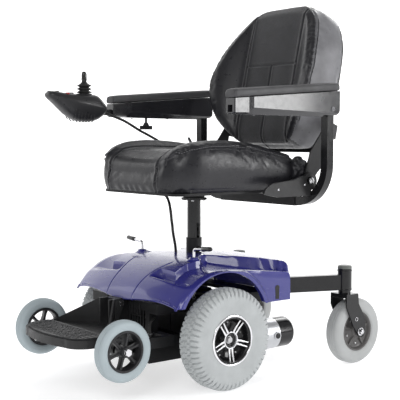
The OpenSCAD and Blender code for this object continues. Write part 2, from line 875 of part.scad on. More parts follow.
function back_outline(w, h, low_r, top_r) = concat(
  arc([w / 2 - low_r, low_r], low_r, -90, 0, 8),
  arc([w / 2 - top_r, h - top_r], top_r, 0, 90, 12),
  arc([top_r - w / 2, h - top_r], top_r, 90, 180, 12),
  arc([low_r - w / 2, low_r], low_r, 180, 270, 8)
);

module backrest_cushion() {
  w = back_w / 2;
  color("#28282c") on_backrest() intersection() {
    translate([0, 200, 0]) rotate([90, 0, 0]) linear_extrude(400)
      polygon(back_outline(back_w, back_h, 95, 205));
    linear_extrude(600) polygon([
      [-112, 8], [112, 8], [150, -22], [178, -58], [200, -66], [226, -58], [w, -36],
      [w, 70], [w - 16, 96], [w - 60, 108], [-w + 60, 108], [-w + 16, 96],
      [-w, 70], [-w, -36], [-226, -58], [-200, -66], [-178, -58], [-150, -22]
    ]);
    side_plate(-w, w, [
      [10, 0], [84, 0], [104, 20], [108, 60], [108, 420], [90, 470], [60, back_h],
      [20, back_h], [-20, 440], [-66, 300], [-66, 120], [-40, 60], [0, 20]
    ]);
  }
}

// Steel back panel; an arm on each side runs forward past the cushion and down to the hinge
module backrest_frame() {
  outer = hinge_x + 0.3;
  plate = 5;
  color("#1d1e20") difference() {
    union() {
      on_backrest() {
        translate([0, 114, 0]) rotate([90, 0, 0]) linear_extrude(plate)
          polygon(back_outline(400, 400, 60, 150));
        both_sides() translate([0, 0, 45]) linear_extrude(45) polygon([
          [outer - plate, 45], [outer, 45], [outer, 62], [230, 114], [190, 114], [190, 109], [226, 109],
          [outer - plate, 60]
        ]);
      }
      both_sides() side_plate(outer - plate, outer, concat(
        arc([hinge_y, hinge_z], 20, 160, 360, 14),
        [[296, 628], [316, 646], [334, 690], [345, 742], [355, 789], [339, 792], [322, 767],
         [305, 744], [284, 718], [264, 690], [259, 672], [246, 640]]
      ));
    }
    x_rod(hinge_pin_r + shaft_gap, -hinge_x - 5, hinge_x + 5, hinge_y, hinge_z);
  }
}

// Release lever turning on the right hinge bolt, outside the cover
module backrest_lever() {
  color("#c0c2c5") difference() {
    side_plate(-hinge_x - 12.7, -hinge_x - 9.7, concat(
      arc([hinge_y, hinge_z], 12, 150, 390, 14),
      arc([hinge_y - 80, hinge_z + 131], 5, 30, 210, 6)
    ));
    x_rod(hinge_pin_r + shaft_gap, -hinge_x - 20, -hinge_x, hinge_y, hinge_z);
  }
}

// Armrests -----------------------------------------------------------------

// Height of the underside of the arm pad at a place along the arm
function pad_under(y) = pad_front_z + (y - arm_front) * tan(pad_rise);

module armrest_housing() {
  w = pad_w / 2 - 2;
  low = 805;
  difference() {
    side_plate(arm_x - w, arm_x + w, [
      [arm_front + 2, low + 1], [arm_rear - 14, low - 4], [arm_rear, low + 20],
      [arm_rear, pad_under(arm_rear)], [arm_front + 2, pad_under(arm_front + 2)]
    ]);
    block([arm_x - socket_w / 2, arm_front - 1, mount_z - socket_w / 2],
          [arm_x + socket_w / 2, 75, mount_z + socket_w / 2]);
    side_plate(arm_x - w + 6, arm_x + w - 6, [
      [240, low - 20], [arm_rear + 10, low - 20], [arm_rear + 10, 856], [256, 856], [240, 842]
    ]);
    x_rod(4 + shaft_gap, arm_x - 40, arm_x + 40, pivot_y, pivot_z);
    z_rod(4 + shaft_gap, 790, mount_z, arm_x, 29);
  }
  x_rod(4, arm_x - w - 1, arm_x + w + 1, pivot_y, pivot_z);
}

module armrest(side) {
  color("#202023") on_side(side) armrest_housing();
}

module arm_pad(side) {
  color("#2e2e31") on_side(side)
    translate([arm_x, arm_front, pad_front_z + 0.2]) rotate([pad_rise, 0, 0])
    translate([0, pad_len / 2, 0]) intersection() {
      linear_extrude(pad_t) rounded_rect(pad_w, pad_len, 12);
      rotate([90, 0, 0]) linear_extrude(500, center = true) polygon([
        [-pad_w / 2 + 2, 0], [pad_w / 2 - 2, 0], [pad_w / 2, 4], [pad_w / 2, 16],
        [pad_w / 2 - 5, 23], [pad_w / 2 - 14, pad_t], [-pad_w / 2 + 14, pad_t],
        [-pad_w / 2 + 5, 23], [-pad_w / 2, 16], [-pad_w / 2, 4]
      ]);
    }
}

// Joystick -----------------------------------------------------------------

module joystick_bracket() {
  color("#1b1c1e") difference() {
    union() {
      block([-arm_x - mount_w / 2, -160.8, mount_z - mount_w / 2],
            [-arm_x + mount_w / 2, 70, mount_z + mount_w / 2]);
      block([-arm_x - mount_w / 2, -160.8, mount_z - mount_w / 2], [-287, -153, 838]);
    }
    block([-arm_x - mount_w / 2 + 2, -152, mount_z - mount_w / 2 + 2],
          [-arm_x + mount_w / 2 - 2, 80, mount_z + mount_w / 2 - 2]);
  }
}

module thumb_screw() {
  color("#1e1e20") {
    z_rod(4, 784, mount_z - mount_w / 2 - 0.2, -arm_x, 29);
    translate([-arm_x, 29, 778]) cylinder(r1 = 12, r2 = 6, h = 12);
    block([-arm_x - 4, 5, 766], [-arm_x + 4, 53, 779]);
  }
}

module joystick_box() {
  half = box_w / 2;
  color("#222225") difference() {
    intersection() {
      side_plate(stick_x - half, stick_x + half, [
        [-366, 884], [-363, 888], [-300, 879], [-200, 879], [-186, 872], [-161, 838],
        [-161, 826], [-172, 803], [-190, 792], [-230, 788], [-268, 790], [-292, 802],
        [-345, 848], [-364, 862], [-369, 872]
      ]);
      translate([stick_x, 0, 780]) linear_extrude(120) polygon([
        [-18, -369], [18, -369], [30, -352], [half - 4, -290], [half, -262], [half, -180],
        [half - 8, -161], [8 - half, -161], [-half, -180], [-half, -262], [4 - half, -290], [-30, -352]
      ]);
    }
    z_rod(21, 842, 890, stick_x, stick_y);
    x_rod(2.5, stick_x - 27, stick_x + 27, stick_y, stick_z);
    z_rod(7.2, 872, 890, stick_x + 20, -306);
    z_rod(7.2, 872, 890, stick_x - 20, -306);
    z_rod(11.3, 870, 890, stick_x, -284);
    y_rod(8, -380, -352, stick_x, 872);
  }
  color("#222225") y_rod(6, -168, cable_end - 1.6, -278, 817);
}

module joystick_gimbal() {
  color("#8f9296") difference() {
    union() {
      z_rod(17, stick_z - 5, stick_z + 5, stick_x, stick_y);
      x_rod(2.45, stick_x - 26, stick_x + 26, stick_y, stick_z);
    }
    z_rod(12, stick_z - 6, stick_z + 6, stick_x, stick_y);
    y_rod(2.5, stick_y - 18, stick_y + 18, stick_x, stick_z);
  }
}

module joystick_stick() {
  color("#2a2a2d") {
    z_rod(4, stick_z - 10, 921, stick_x, stick_y);
    y_rod(2.45, stick_y - 16, stick_y + 16, stick_x, stick_z);
    translate([stick_x, stick_y, 921]) rotate_extrude() polygon(concat(
      [[0, 0], [7.5, 0], [9.8, 6], [8.6, 15], [9.8, 24]],
      arc([3.8, 26], 6, 0, 90, 6), [[0, 32]]
    ));
  }
}

module joystick_gaiter() {
  folds = [for (i = [0:2]) each [
    [17, i * 13], [24 - i, i * 13 + 4], [24 - i, i * 13 + 6], [15 - i, i * 13 + 11]
  ]];
  color("#1c1c1e") translate([stick_x, stick_y, gaiter_z]) rotate_extrude()
    polygon(concat(folds, [[8, 41], [4.2, 41], [4.2, 38], [10, 35], [13, 1], [13, 0]]));
}

module speed_dial() {
  color("#3a3a3d") {
    z_rod(10.5, 871, 883.5, stick_x, -284);
    z_rod(11, 870.2, 872, stick_x, -284);
  }
}

module power_button() {
  color("#b03030") z_rod(6.9, 874, 882, stick_x + 20, -306);
}

module horn_button() {
  color("#4c4c50") z_rod(6.9, 874, 882, stick_x - 20, -306);
}

// Control cable --------------------------------------------------------------

module control_cable_lower() {
  color("#151516") swept_tube(cable_low, cable_r, cable_sides);
}

module control_cable_upper() {
  color("#151516") swept_tube(cable_high, cable_r, cable_sides);
}

base_frame();
front_arms();
batteries();
controller_box();
shroud();
rear_panel();
post_socket();
gearboxes();
motors();
motor_end_bells();
rear_arms();
barrel_caps();
front_axle_pins();
drive_tyre(1);  // drive_tyre_left
drive_rim(1);  // drive_rim_left
drive_axle(1);  // drive_axle_left
drive_tyre(-1);  // drive_tyre_right
drive_rim(-1);  // drive_rim_right
drive_axle(-1);  // drive_axle_right
front_tyre(1);  // front_tyre_left
front_rim(1);  // front_rim_left
front_tyre(-1);  // front_tyre_right
front_rim(-1);  // front_rim_right
caster_fork(1);  // caster_fork_left
caster_tyre(1);  // caster_tyre_left
caster_rim(1);  // caster_rim_left
caster_fork(-1);  // caster_fork_right
caster_tyre(-1);  // caster_tyre_right
caster_rim(-1);  // caster_rim_right
freewheel_lever(1);  // freewheel_lever_left
freewheel_lever(-1);  // freewheel_lever_right
footplate();
foot_mat();
seat_post();
post_pin();
swivel_head();
swivel_lever();
seat_pan();
seat_cushion();
armrest_receiver();
arm_posts();
hinge_covers();
backrest_frame();
backrest_cushion();
backrest_lever();
armrest(1);  // armrest_left
armrest(-1);  // armrest_right
arm_pad(1);  // arm_pad_left
arm_pad(-1);  // arm_pad_right
joystick_bracket();
thumb_screw();
joystick_box();
joystick_gimbal();
joystick_stick();
joystick_gaiter();
speed_dial();
power_button();
horn_button();
control_cable_lower();
control_cable_upper();
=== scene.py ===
import math

import bmesh
import bpy
import numpy as np
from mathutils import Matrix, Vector
from mathutils.bvhtree import BVHTree


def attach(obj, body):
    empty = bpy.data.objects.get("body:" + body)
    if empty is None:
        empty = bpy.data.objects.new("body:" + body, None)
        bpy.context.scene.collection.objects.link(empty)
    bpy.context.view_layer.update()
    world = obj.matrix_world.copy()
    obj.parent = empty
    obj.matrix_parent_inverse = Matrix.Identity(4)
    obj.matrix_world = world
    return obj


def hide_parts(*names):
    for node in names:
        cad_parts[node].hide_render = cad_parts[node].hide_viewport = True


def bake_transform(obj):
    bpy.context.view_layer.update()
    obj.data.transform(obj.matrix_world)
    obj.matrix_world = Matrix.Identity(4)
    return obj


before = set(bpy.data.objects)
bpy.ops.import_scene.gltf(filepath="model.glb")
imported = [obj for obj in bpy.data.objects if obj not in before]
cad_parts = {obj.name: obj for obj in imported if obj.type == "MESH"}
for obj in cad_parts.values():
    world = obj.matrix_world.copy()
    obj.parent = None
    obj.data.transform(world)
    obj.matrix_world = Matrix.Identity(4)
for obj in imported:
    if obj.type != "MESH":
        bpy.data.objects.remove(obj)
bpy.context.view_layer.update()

MM = 0.001


# ---------------------------------------------------------------- materials
def new_material(name, colour, rough, metallic=0.0, coat=0.0, coat_rough=0.1, sheen=0.0, spec=0.4):
    m = bpy.data.materials.new(name)
    m.use_nodes = True
    b = m.node_tree.nodes["Principled BSDF"]
    b.inputs["Base Color"].default_value = (*colour, 1)
    b.inputs["Roughness"].default_value = rough
    b.inputs["Metallic"].default_value = metallic
    b.inputs["Coat Weight"].default_value = coat
    b.inputs["Coat Roughness"].default_value = coat_rough
    b.inputs["Sheen Weight"].default_value = sheen
    b.inputs["Specular IOR Level"].default_value = spec
    return m, m.node_tree, b


def noise(t, scale, detail=4, rough=0.55, stretch=None):
    """Noise in the object's own coordinates, in metres."""
    c = t.nodes.new("ShaderNodeTexCoord")
    src = c.outputs["Object"]
    if stretch:
        mp = t.nodes.new("ShaderNodeMapping")
        mp.inputs["Scale"].default_value = stretch
        t.links.new(src, mp.inputs[0])
        src = mp.outputs[0]
    n = t.nodes.new("ShaderNodeTexNoise")
    n.inputs["Scale"].default_value = scale
    n.inputs["Detail"].default_value = detail
    n.inputs["Roughness"].default_value = rough
    t.links.new(src, n.inputs["Vector"])
    return n.outputs["Fac"]


def ramp(t, fac, stops):
    r = t.nodes.new("ShaderNodeValToRGB")
    e = r.color_ramp.elements
    while len(e) < len(stops):
        e.new(0.5)
    for el, (p, c) in zip(e, stops):
        el.position = p
        el.color = (*c, 1) if len(c) == 3 else c
    t.links.new(fac, r.inputs[0])
    return r.outputs[0]


def to_range(t, fac, lo, hi, a=0.3, b=0.7):
    r = t.nodes.new("ShaderNodeMapRange")
    for i, v in enumerate((a, b, lo, hi)):
        r.inputs[i + 1].default_value = v
    t.links.new(fac, r.inputs[0])
    return r.outputs[0]


def bump(t, bsdf, height, strength, distance, after=None, edge=0.0):
    n = t.nodes.new("ShaderNodeBump")
    n.inputs["Strength"].default_value = strength
    n.inputs["Distance"].default_value = distance
    t.links.new(height, n.inputs["Height"])
    if after is not None:
        t.links.new(after, n.inputs["Normal"])
    elif edge:
        e = t.nodes.new("ShaderNodeBevel")
        e.samples = 4
        e.inputs["Radius"].default_value = edge
        t.links.new(e.outputs[0], n.inputs["Normal"])
    t.links.new(n.outputs[0], bsdf.inputs["Normal"])
    return n.outputs[0]


def shade(c, k):
    return tuple(min(1, v * k) for v in c)


def surface(name, colour, rough, metallic=0.0, grain=0.0, grain_scale=900, vary=0.12, coat=0.0,
            edge=0.0, rough_vary=0.08, stretch=None, coat_rough=0.1, sheen=0.0, patch=9, spec=0.4):
    """General finish: slow colour change, uneven gloss, fine grain and softened edges."""
    m, t, b = new_material(name, colour, rough, metallic, coat, coat_rough, sheen, spec)
    slow = noise(t, patch, 5)
    t.links.new(ramp(t, slow, [(0.3, shade(colour, 1 - vary)), (0.7, shade(colour, 1 + vary))]),
                b.inputs["Base Color"])
    t.links.new(to_range(t, noise(t, patch * 7, 4, stretch=stretch), rough - rough_vary, rough + rough_vary),
                b.inputs["Roughness"])
    bump(t, b, noise(t, grain_scale, 3, stretch=stretch), grain, 0.0004, edge=edge)
    return m


def vinyl(name, colour, rough=0.42, wrinkle=0.5):
    """Upholstery vinyl: pebbled grain, soft creases and worn gloss."""
    m, t, b = new_material(name, colour, rough, sheen=0.0)
    cells = t.nodes.new("ShaderNodeTexVoronoi")
    cells.inputs["Scale"].default_value = 620
    cells.feature = "DISTANCE_TO_EDGE"
    c = t.nodes.new("ShaderNodeTexCoord")
    t.links.new(c.outputs["Object"], cells.inputs["Vector"])
    creases = noise(t, 34, 6, 0.62)
    t.links.new(ramp(t, noise(t, 14, 5), [(0.3, shade(colour, 0.8)), (0.72, shade(colour, 1.3))]),
                b.inputs["Base Color"])
    t.links.new(to_range(t, noise(t, 60, 5), rough - 0.07, rough + 0.1), b.inputs["Roughness"])
    first = bump(t, b, creases, wrinkle, 0.0022)
    bump(t, b, cells.outputs["Distance"], 0.35, 0.0003, after=first)
    return m


def cloth(name, colour):
    """Woven seat fabric: a fine weave with a faint vertical rib."""
    m, t, b = new_material(name, colour, 0.85, sheen=0.35)
    c = t.nodes.new("ShaderNodeTexCoord")
    waves = []
    for direction, scale in (("X", 330), ("Z", 330)):
        w = t.nodes.new("ShaderNodeTexWave")
        w.bands_direction = direction
        w.inputs["Scale"].default_value = scale
        w.inputs["Distortion"].default_value = 0.6
        t.links.new(c.outputs["Object"], w.inputs["Vector"])
        waves.append(w.outputs["Fac"])
    add = t.nodes.new("ShaderNodeMath")
    add.operation = "MULTIPLY"
    t.links.new(waves[0], add.inputs[0])
    t.links.new(waves[1], add.inputs[1])
    t.links.new(ramp(t, noise(t, 40, 6), [(0.3, shade(colour, 0.75)), (0.7, shade(colour, 1.35))]),
                b.inputs["Base Color"])
    first = bump(t, b, noise(t, 26, 5), 0.35, 0.002)
    bump(t, b, add.outputs[0], 0.5, 0.0005, after=first)
    return m


M = {
    "paint": surface("blue_paint", (0.030, 0.030, 0.21), 0.24, coat=0.5, coat_rough=0.05, vary=0.07,
                     grain=0.02, grain_scale=260, rough_vary=0.05, patch=5),
    "black": surface("black_powder_coat", (0.010, 0.010, 0.011), 0.42, grain=0.1, grain_scale=1400, spec=0.25,
                     edge=0.0012, vary=0.3),
    "black_gloss": surface("black_gloss_paint", (0.008, 0.008, 0.009), 0.2, grain=0.03, vary=0.25,
                           edge=0.001, coat=0.3, spec=0.25),
    "plastic": surface("moulded_black_plastic", (0.017, 0.017, 0.018), 0.45, grain=0.3,
                       grain_scale=1700, edge=0.001, vary=0.25),
    "steel": surface("brushed_steel", (0.50, 0.50, 0.51), 0.3, 1.0, grain=0.12, edge=0.0008,
                     stretch=(1, 1, 0.04), grain_scale=1600),
    "chrome": surface("plated_steel", (0.68, 0.68, 0.70), 0.14, 1.0, grain=0.02, edge=0.0005),
    "dark_steel": surface("post_steel", (0.16, 0.16, 0.17), 0.27, 1.0, grain=0.1, edge=0.0006,
                          stretch=(1, 1, 0.05), grain_scale=1200),
    "post": surface("black_post_enamel", (0.009, 0.009, 0.010), 0.16, grain=0.03, coat=0.3, spec=0.3),
    "cast": surface("cast_aluminium", (0.42, 0.43, 0.44), 0.45, 0.9, grain=0.5, grain_scale=500,
                    edge=0.0015),
    "motor": surface("motor_can", (0.55, 0.56, 0.58), 0.34, 0.9, grain=0.1, edge=0.0008,
                     stretch=(1, 0.04, 1), grain_scale=1200),
    "silver": surface("machined_rim", (0.80, 0.80, 0.82), 0.2, 1.0, grain=0.05, edge=0.0007),
    "tyre": surface("grey_tyre_rubber", (0.43, 0.45, 0.455), 0.72, grain=0.35, grain_scale=420,
                    vary=0.07, patch=22),
    "tyre_front": surface("pale_solid_tyre", (0.38, 0.44, 0.465), 0.55, grain=0.15, grain_scale=600,
                          vary=0.05, patch=14),
    "tyre_caster": surface("caster_rubber", (0.40, 0.41, 0.41), 0.6, grain=0.2, grain_scale=600,
                           vary=0.06, patch=14),
    "rim_front": surface("front_rim_plastic", (0.016, 0.016, 0.018), 0.4, grain=0.2, edge=0.001),
    "rim_caster": surface("caster_rim_plastic", (0.10, 0.096, 0.094), 0.4, grain=0.2, edge=0.001),
    "cap": surface("grey_barrel_cap", (0.13, 0.14, 0.13), 0.4, grain=0.15, edge=0.001),
    "rubber": surface("black_rubber", (0.014, 0.014, 0.014), 0.6, grain=0.4, grain_scale=1500,
                      edge=0.0008),
    "grip": surface("dipped_grip", (0.012, 0.012, 0.012), 0.25, grain=0.05, edge=0.001, coat=0.4),
    "mat": surface("ribbed_foot_mat", (0.020, 0.020, 0.022), 0.5, grain=0.6, grain_scale=420),
    "arm": surface("arm_housing_gloss", (0.016, 0.016, 0.019), 0.2, grain=0.04, grain_scale=1200,
                   vary=0.2, coat=0.5),
    "joystick": surface("joystick_plastic_shell", (0.016, 0.016, 0.018), 0.34, grain=0.12, grain_scale=1500,
                        vary=0.2),
    "pad": vinyl("arm_pad_skin", (0.050, 0.050, 0.053), 0.5, 0.1),
    "vinyl": vinyl("black_vinyl", (0.014, 0.014, 0.017), 0.32, 0.25),
    # the black vinyl again in a lighter grey: a painted highlight for the lit side panels of the backrest
    "vinyl_painted_highlight": vinyl("grey_vinyl_painted_highlight", (0.16, 0.16, 0.17), 0.34, 0.15),
    "cloth": cloth("black_fabric", (0.014, 0.014, 0.017)),
    "thread": surface("pale_thread", (0.16, 0.16, 0.17), 0.7, grain=0.5, grain_scale=2500),
    "cable": surface("cable_jacket", (0.012, 0.012, 0.012), 0.42, grain=0.1, vary=0.2),
    # dark plastic of the controller box and vents; the same colour is the painted shade of the keyhole slots
    "inside": surface("dark_plastic_and_slot_shade", (0.010, 0.010, 0.011), 0.55, grain=0.3, grain_scale=900,
                      edge=0.001),
    "battery": surface("battery_case", (0.028, 0.028, 0.030), 0.5, grain=0.3, edge=0.0015),
    "red": surface("red_button_plastic", (0.32, 0.02, 0.02), 0.3, grain=0.05, edge=0.0006),
    "grey": surface("grey_button_plastic", (0.16, 0.16, 0.17), 0.35, grain=0.1, edge=0.0006),
    "amber": surface("amber_lamp", (0.45, 0.22, 0.03), 0.25, grain=0.02),
}

NODE_LOOK = {
    "base_frame": "black", "batteries": "battery", "controller_box": "inside", "rear_panel": "plastic",
    "post_socket": "black", "gearboxes": "black", "motors": "motor", "motor_end_bells": "black_gloss",
    "front_arms": "black",
    "rear_arms": "black_gloss", "barrel_caps": "cap", "front_axle_pins": "chrome",
    "seat_post": "post", "post_pin": "chrome",
    "swivel_head": "black", "swivel_lever": "black", "seat_pan": "black",
    "armrest_receiver": "black", "arm_posts": "black_gloss", "backrest_frame": "black",
    "backrest_lever": "chrome", "joystick_bracket": "black", "joystick_gimbal": "cast",
    "shroud": "paint", "footplate": "plastic", "foot_mat": "mat", "hinge_covers": "plastic",
    "seat_cushion": "vinyl", "backrest_cushion": "vinyl", "thumb_screw": "plastic",
    "joystick_box": "plastic", "joystick_stick": "plastic", "joystick_gaiter": "rubber",
    "speed_dial": "grey", "power_button": "red", "horn_button": "grey",
    "control_cable_lower": "cable", "control_cable_upper": "cable",
}
for side in ("left", "right"):
    NODE_LOOK.update({
        f"drive_tyre_{side}": "tyre", f"drive_rim_{side}": "black_gloss", f"drive_axle_{side}": "steel",
        f"front_tyre_{side}": "tyre_front", f"front_rim_{side}": "rim_front",
        f"caster_fork_{side}": "black_gloss", f"caster_tyre_{side}": "tyre_caster",
        f"caster_rim_{side}": "rim_caster", f"freewheel_lever_{side}": "chrome",
        f"armrest_{side}": "plastic", f"arm_pad_{side}": "pad",
    })
for name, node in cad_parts.items():
    node.data.materials.clear()
    node.data.materials.append(M[NODE_LOOK[name]])


# ---------------------------------------------------------------- mesh helpers
def piece(name, verts, faces, look, body, replaces=(), slot=None, smooth=True, scale=MM):
    """A mesh given in millimetres, riding on a body."""
    me = bpy.data.meshes.new(name)
    me.from_pydata([tuple(c * scale for c in v) for v in verts], [], [tuple(f) for f in faces])
    me.validate()
    bm = bmesh.new()
    bm.from_mesh(me)
    bmesh.ops.recalc_face_normals(bm, faces=bm.faces)
    bm.to_mesh(me)
    bm.free()
    o = bpy.data.objects.new(name, me)
    bpy.context.scene.collection.objects.link(o)
    me.materials.append(M[look])
    if smooth:
        for p in me.polygons:
            p.use_smooth = True
    if body:
        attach(o, body)
    if replaces:
        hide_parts(*replaces)
    return o


def sharp(o, degrees=35):
    """Smooth shading with creases kept at sharp edges."""
    me = o.data
    bm = bmesh.new()
    bm.from_mesh(me)
    for e in bm.edges:
        e.smooth = len(e.link_faces) == 2 and e.calc_face_angle(3) < math.radians(degrees)
    bm.to_mesh(me)
    bm.free()
    return o


def bevelled(o, width, segments=3, degrees=30):
    m = o.modifiers.new("Bevel", "BEVEL")
    m.width = width * MM
    m.segments = segments
    m.limit_method = "ANGLE"
    m.angle_limit = math.radians(degrees)
    m.harden_normals = False
    return sharp(o, 50)


def subdivided(o, levels=1):
    m = o.modifiers.new("Subdivision", "SUBSURF")
    m.levels = m.render_levels = levels
    return o


def apply_modifiers(o):
    dg = bpy.context.evaluated_depsgraph_get()
    me = bpy.data.meshes.new_from_object(o.evaluated_get(dg))
    o.modifiers.clear()
    o.data = me
    return o


def grid_faces(rows, cols, wrap_rows=False, wrap_cols=False):
    f = []
    for i in range(rows if wrap_rows else rows - 1):
        for j in range(cols if wrap_cols else cols - 1):
            a, b = i * cols + j, i * cols + (j + 1) % cols
            c, d = ((i + 1) % rows) * cols + (j + 1) % cols, ((i + 1) % rows) * cols + j
            f.append((a, b, c, d))
    return f


def loft(rings, caps=True):
    """Verts and faces through closed rings of equal length."""
    n = len(rings[0])
    v = [p for r in rings for p in r]
    f = grid_faces(len(rings), n, wrap_cols=True)
    if caps:
        f.append(tuple(range(n))[::-1])
        f.append(tuple((len(rings) - 1) * n + i for i in range(n)))
    return v, f


def lathe_x(profile, x, y, z, side=1, n=96, closed=True):
    """Turns (radius, offset along X) about an axis along X."""
    v = [(x + side * dx, y + r * math.sin(a), z + r * math.cos(a))
         for a in (2 * math.pi * k / n for k in range(n)) for r, dx in profile]
    return v, grid_faces(n, len(profile), wrap_rows=True, wrap_cols=closed)


def lathe_z(profile, x, y, n=64):
    """Turns (radius, height) about a vertical axis; the profile runs from axis to axis."""
    v = [(x + r * math.cos(a), y + r * math.sin(a), z)
         for a in (2 * math.pi * k / n for k in range(n)) for r, z in profile]
    return v, grid_faces(n, len(profile), wrap_rows=True)


def merged(parts):
    v, f = [], []
    for pv, pf in parts:
        o = len(v)
        v += list(pv)
        f += [tuple(i + o for i in q) for q in pf]
    return v, f


def brick(lo, hi):
    (a, b, c), (d, e, g) = lo, hi
    v = [(a, b, c), (d, b, c), (d, e, c), (a, e, c), (a, b, g), (d, b, g), (d, e, g), (a, e, g)]
    return v, [(0, 3, 2, 1), (4, 5, 6, 7), (0, 1, 5, 4), (1, 2, 6, 5), (2, 3, 7, 6), (3, 0, 4, 7)]


def prism(outline, place):
    """Extrudes an outline between two placings: place(u, v, 0) and place(u, v, 1)."""
    return loft([[place(u, v, k) for u, v in outline] for k in (0, 1)])


def smooth_path(points, per=6, closed=False):
    """Catmull-Rom curve through the points."""
    p = [Vector(q) for q in points]
    out = []
    n = len(p)
    for i in range(n if closed else n - 1):
        if closed:
            a, b, c, d = p[i - 1], p[i], p[(i + 1) % n], p[(i + 2) % n]
        else:
            a, b, c, d = p[max(i - 1, 0)], p[i], p[i + 1], p[min(i + 2, n - 1)]
        for k in range(per):
            t = k / per
            out.append(0.5 * (2 * b + (c - a) * t + (2 * a - 5 * b + 4 * c - d) * t * t
                              + (3 * b - a - 3 * c + d) * t ** 3))
    if not closed:
        out.append(p[-1])
    return out


def tube(points, radius, sides=12, closed=False, flat=1.0):
    """Sweeps a circle along points; radius may be one number or one for each point."""
    p = [Vector(q) for q in points]
    n = len(p)
    radii = radius if isinstance(radius, (list, tuple)) else [radius] * n
    rings, normal = [], None
    for i in range(n):
        d = (p[(i + 1) % n] - p[i - 1]) if closed else (p[min(i + 1, n - 1)] - p[max(i - 1, 0)])
        d.normalize()
        if normal is None:
            normal = Vector((0, 0, 1)) if abs(d.z) < 0.9 else Vector((1, 0, 0))
        normal = (normal - d * normal.dot(d)).normalized()
        side = d.cross(normal)
        rings.append([tuple(p[i] + (normal * math.cos(a) * flat + side * math.sin(a)) * radii[i])
                      for a in (2 * math.pi * k / sides for k in range(sides))])
    if closed:
        return [q for r in rings for q in r], grid_faces(n, sides, True, True)
    return loft(rings)


def both(parts_for_side):
    """Calls with +1 and -1."""
    return [parts_for_side(s) for s in (1, -1)]


def step(x, a, b):
    """Smooth 0 to 1 between a and b."""
    t = np.clip((np.asarray(x, float) - a) / (b - a), 0, 1)
    return t * t * (3 - 2 * t)


SIDES = (("left", 1), ("right", -1))


def cut(o, lo, hi):
    """Cuts a box-shaped hole."""
    tool = piece("cutter", *brick(lo, hi), "black", None, smooth=False)
    m = o.modifiers.new("Boolean", "BOOLEAN")
    m.operation, m.solver, m.object = "DIFFERENCE", "EXACT", tool
    apply_modifiers(o)
    bpy.data.objects.remove(tool)
    return o



# ---------------------------------------------------------------- shroud
FRONT_MID, FRONT_SIDE, REAR_MID, REAR_SIDE = -293, -277, 230, 158
ARCH = (-102, 180, 166)


def band_edge(y):
    """Half-width of the middle band, from the apron's foot to behind the wells."""
    return np.interp(y, [-293, -240, -180, -140, -60, 230], [66, 73, 92, 96, 60, 60])


def deck_edge(y):
    """Half-width of the raised deck behind the apron."""
    return np.interp(y, [-293, -206, -150, -122, -100, -76, -48, -20, 50, 120, 180, 232],
                     [168, 168, 156, 160, 160, 124, 86, 80, 150, 205, 262, 268])


def deck_height(y):
    y = np.asarray(y, float)
    front = 255 + 117 * np.maximum(0, 1 - np.clip((-110 - y) / 183, 0, 1) ** 1.7) ** (1 / 1.7)
    return np.where(y < -110, front, np.where(y < -5, 374 - 2 * ((-5 - y) / 105) ** 2,
                                              374 - 22 * (np.maximum(0, y + 5) / 235) ** 2))


def side_height(y):
    y = np.asarray(y, float)
    front = 357 - 103 * np.clip((-83.5 - y) / 193.5, 0, 1) ** 2.7
    return np.where(y < -83.5, front, 357 - 25 * np.clip((y + 83.5) / 241.5, 0, 1) ** 1.1)


def shroud_top(x, y):
    """Height of the shroud's upper skin."""
    x = np.abs(x)
    g, w = band_edge(y), deck_edge(y)
    zd, zs = deck_height(y), side_height(y)
    r = np.clip(x / 277, 0, 1)
    deck = zd - (zd - zs) * r ** 2.4
    deck = np.where(y > 40, zd - 10 * r ** 2, deck)
    low = zs - 6 * np.sin(np.pi * np.clip((277 - x) / 190, 0, 1)) - 3
    low = np.minimum(low, deck)
    rear_soft = 4 + 14 * step(y, -90, 20)
    on_deck = 1 - step(x, w - rear_soft / 2, w + rear_soft / 2)
    on_deck = on_deck * step(y, -207, -202)
    apron = 1 - step(y, -242, -206) * step(x, g + 6, g + 26)
    band = 1 - step(x, g + 2, g + 5)
    m = np.maximum(np.maximum(on_deck, apron), band * (y < -120))
    z = low + (deck - low) * m
    groove = np.exp(-((x - g) / 1.7) ** 2) * (1 - step(y, -178, -150)) * 2.4
    boss = 5 * (1 - step(np.hypot(x - 137, y + 111), 15, 24))
    return z - groove + boss


def shroud_sheet():
    rows = np.concatenate([np.linspace(0, 0.02, 4), np.linspace(0.03, 0.13, 22), np.linspace(0.14, 0.36, 64),
                           np.linspace(0.37, 1.0, 56)])
    verts, cols = [], None
    for t in rows:
        half = []
        y0 = FRONT_MID + (REAR_MID - FRONT_MID) * t
        g, w = float(band_edge(y0)), float(deck_edge(y0))
        g = min(g, w - 12)
        half += list(np.linspace(0, g - 5, 10))
        half += [g - 3.4, g - 2.2, g - 1.1, g, g + 1.1, g + 2.2, g + 3.4, g + 4.6, g + 6]
        half += list(np.linspace(g + 8, max(w - 9, g + 8.5), 16))
        half += [w - 7, w - 5, w - 3.4, w - 2, w - 1, w, w + 1, w + 2, w + 3.4, w + 5, w + 7]
        end = 277 - 9
        half += list(np.linspace(min(w + 9, end - 1), end, 24))
        half = np.maximum.accumulate(np.minimum(half, end))
        x = np.concatenate([-half[:0:-1], half])
        f = FRONT_MID + (FRONT_SIDE - FRONT_MID) * (x / 277) ** 2
        b = REAR_MID - (REAR_MID - REAR_SIDE) * (x / 277) ** 2
        y = f + (b - f) * t
        z = shroud_top(x, y)
        # soft roll onto the rear wall
        back = np.clip(1 - (b - y) / 16, 0, 1)
        z = z - 10 * (1 - np.sqrt(np.maximum(0, 1 - back ** 2)))
        # soft roll onto the side wall
        edge = np.clip((np.abs(x) - (end - 14)) / 14, 0, 1)
        z = z - 3.0 * edge ** 2
        verts.append(np.stack([x, y, z], 1))
        cols = len(x)
    return np.array(verts), cols


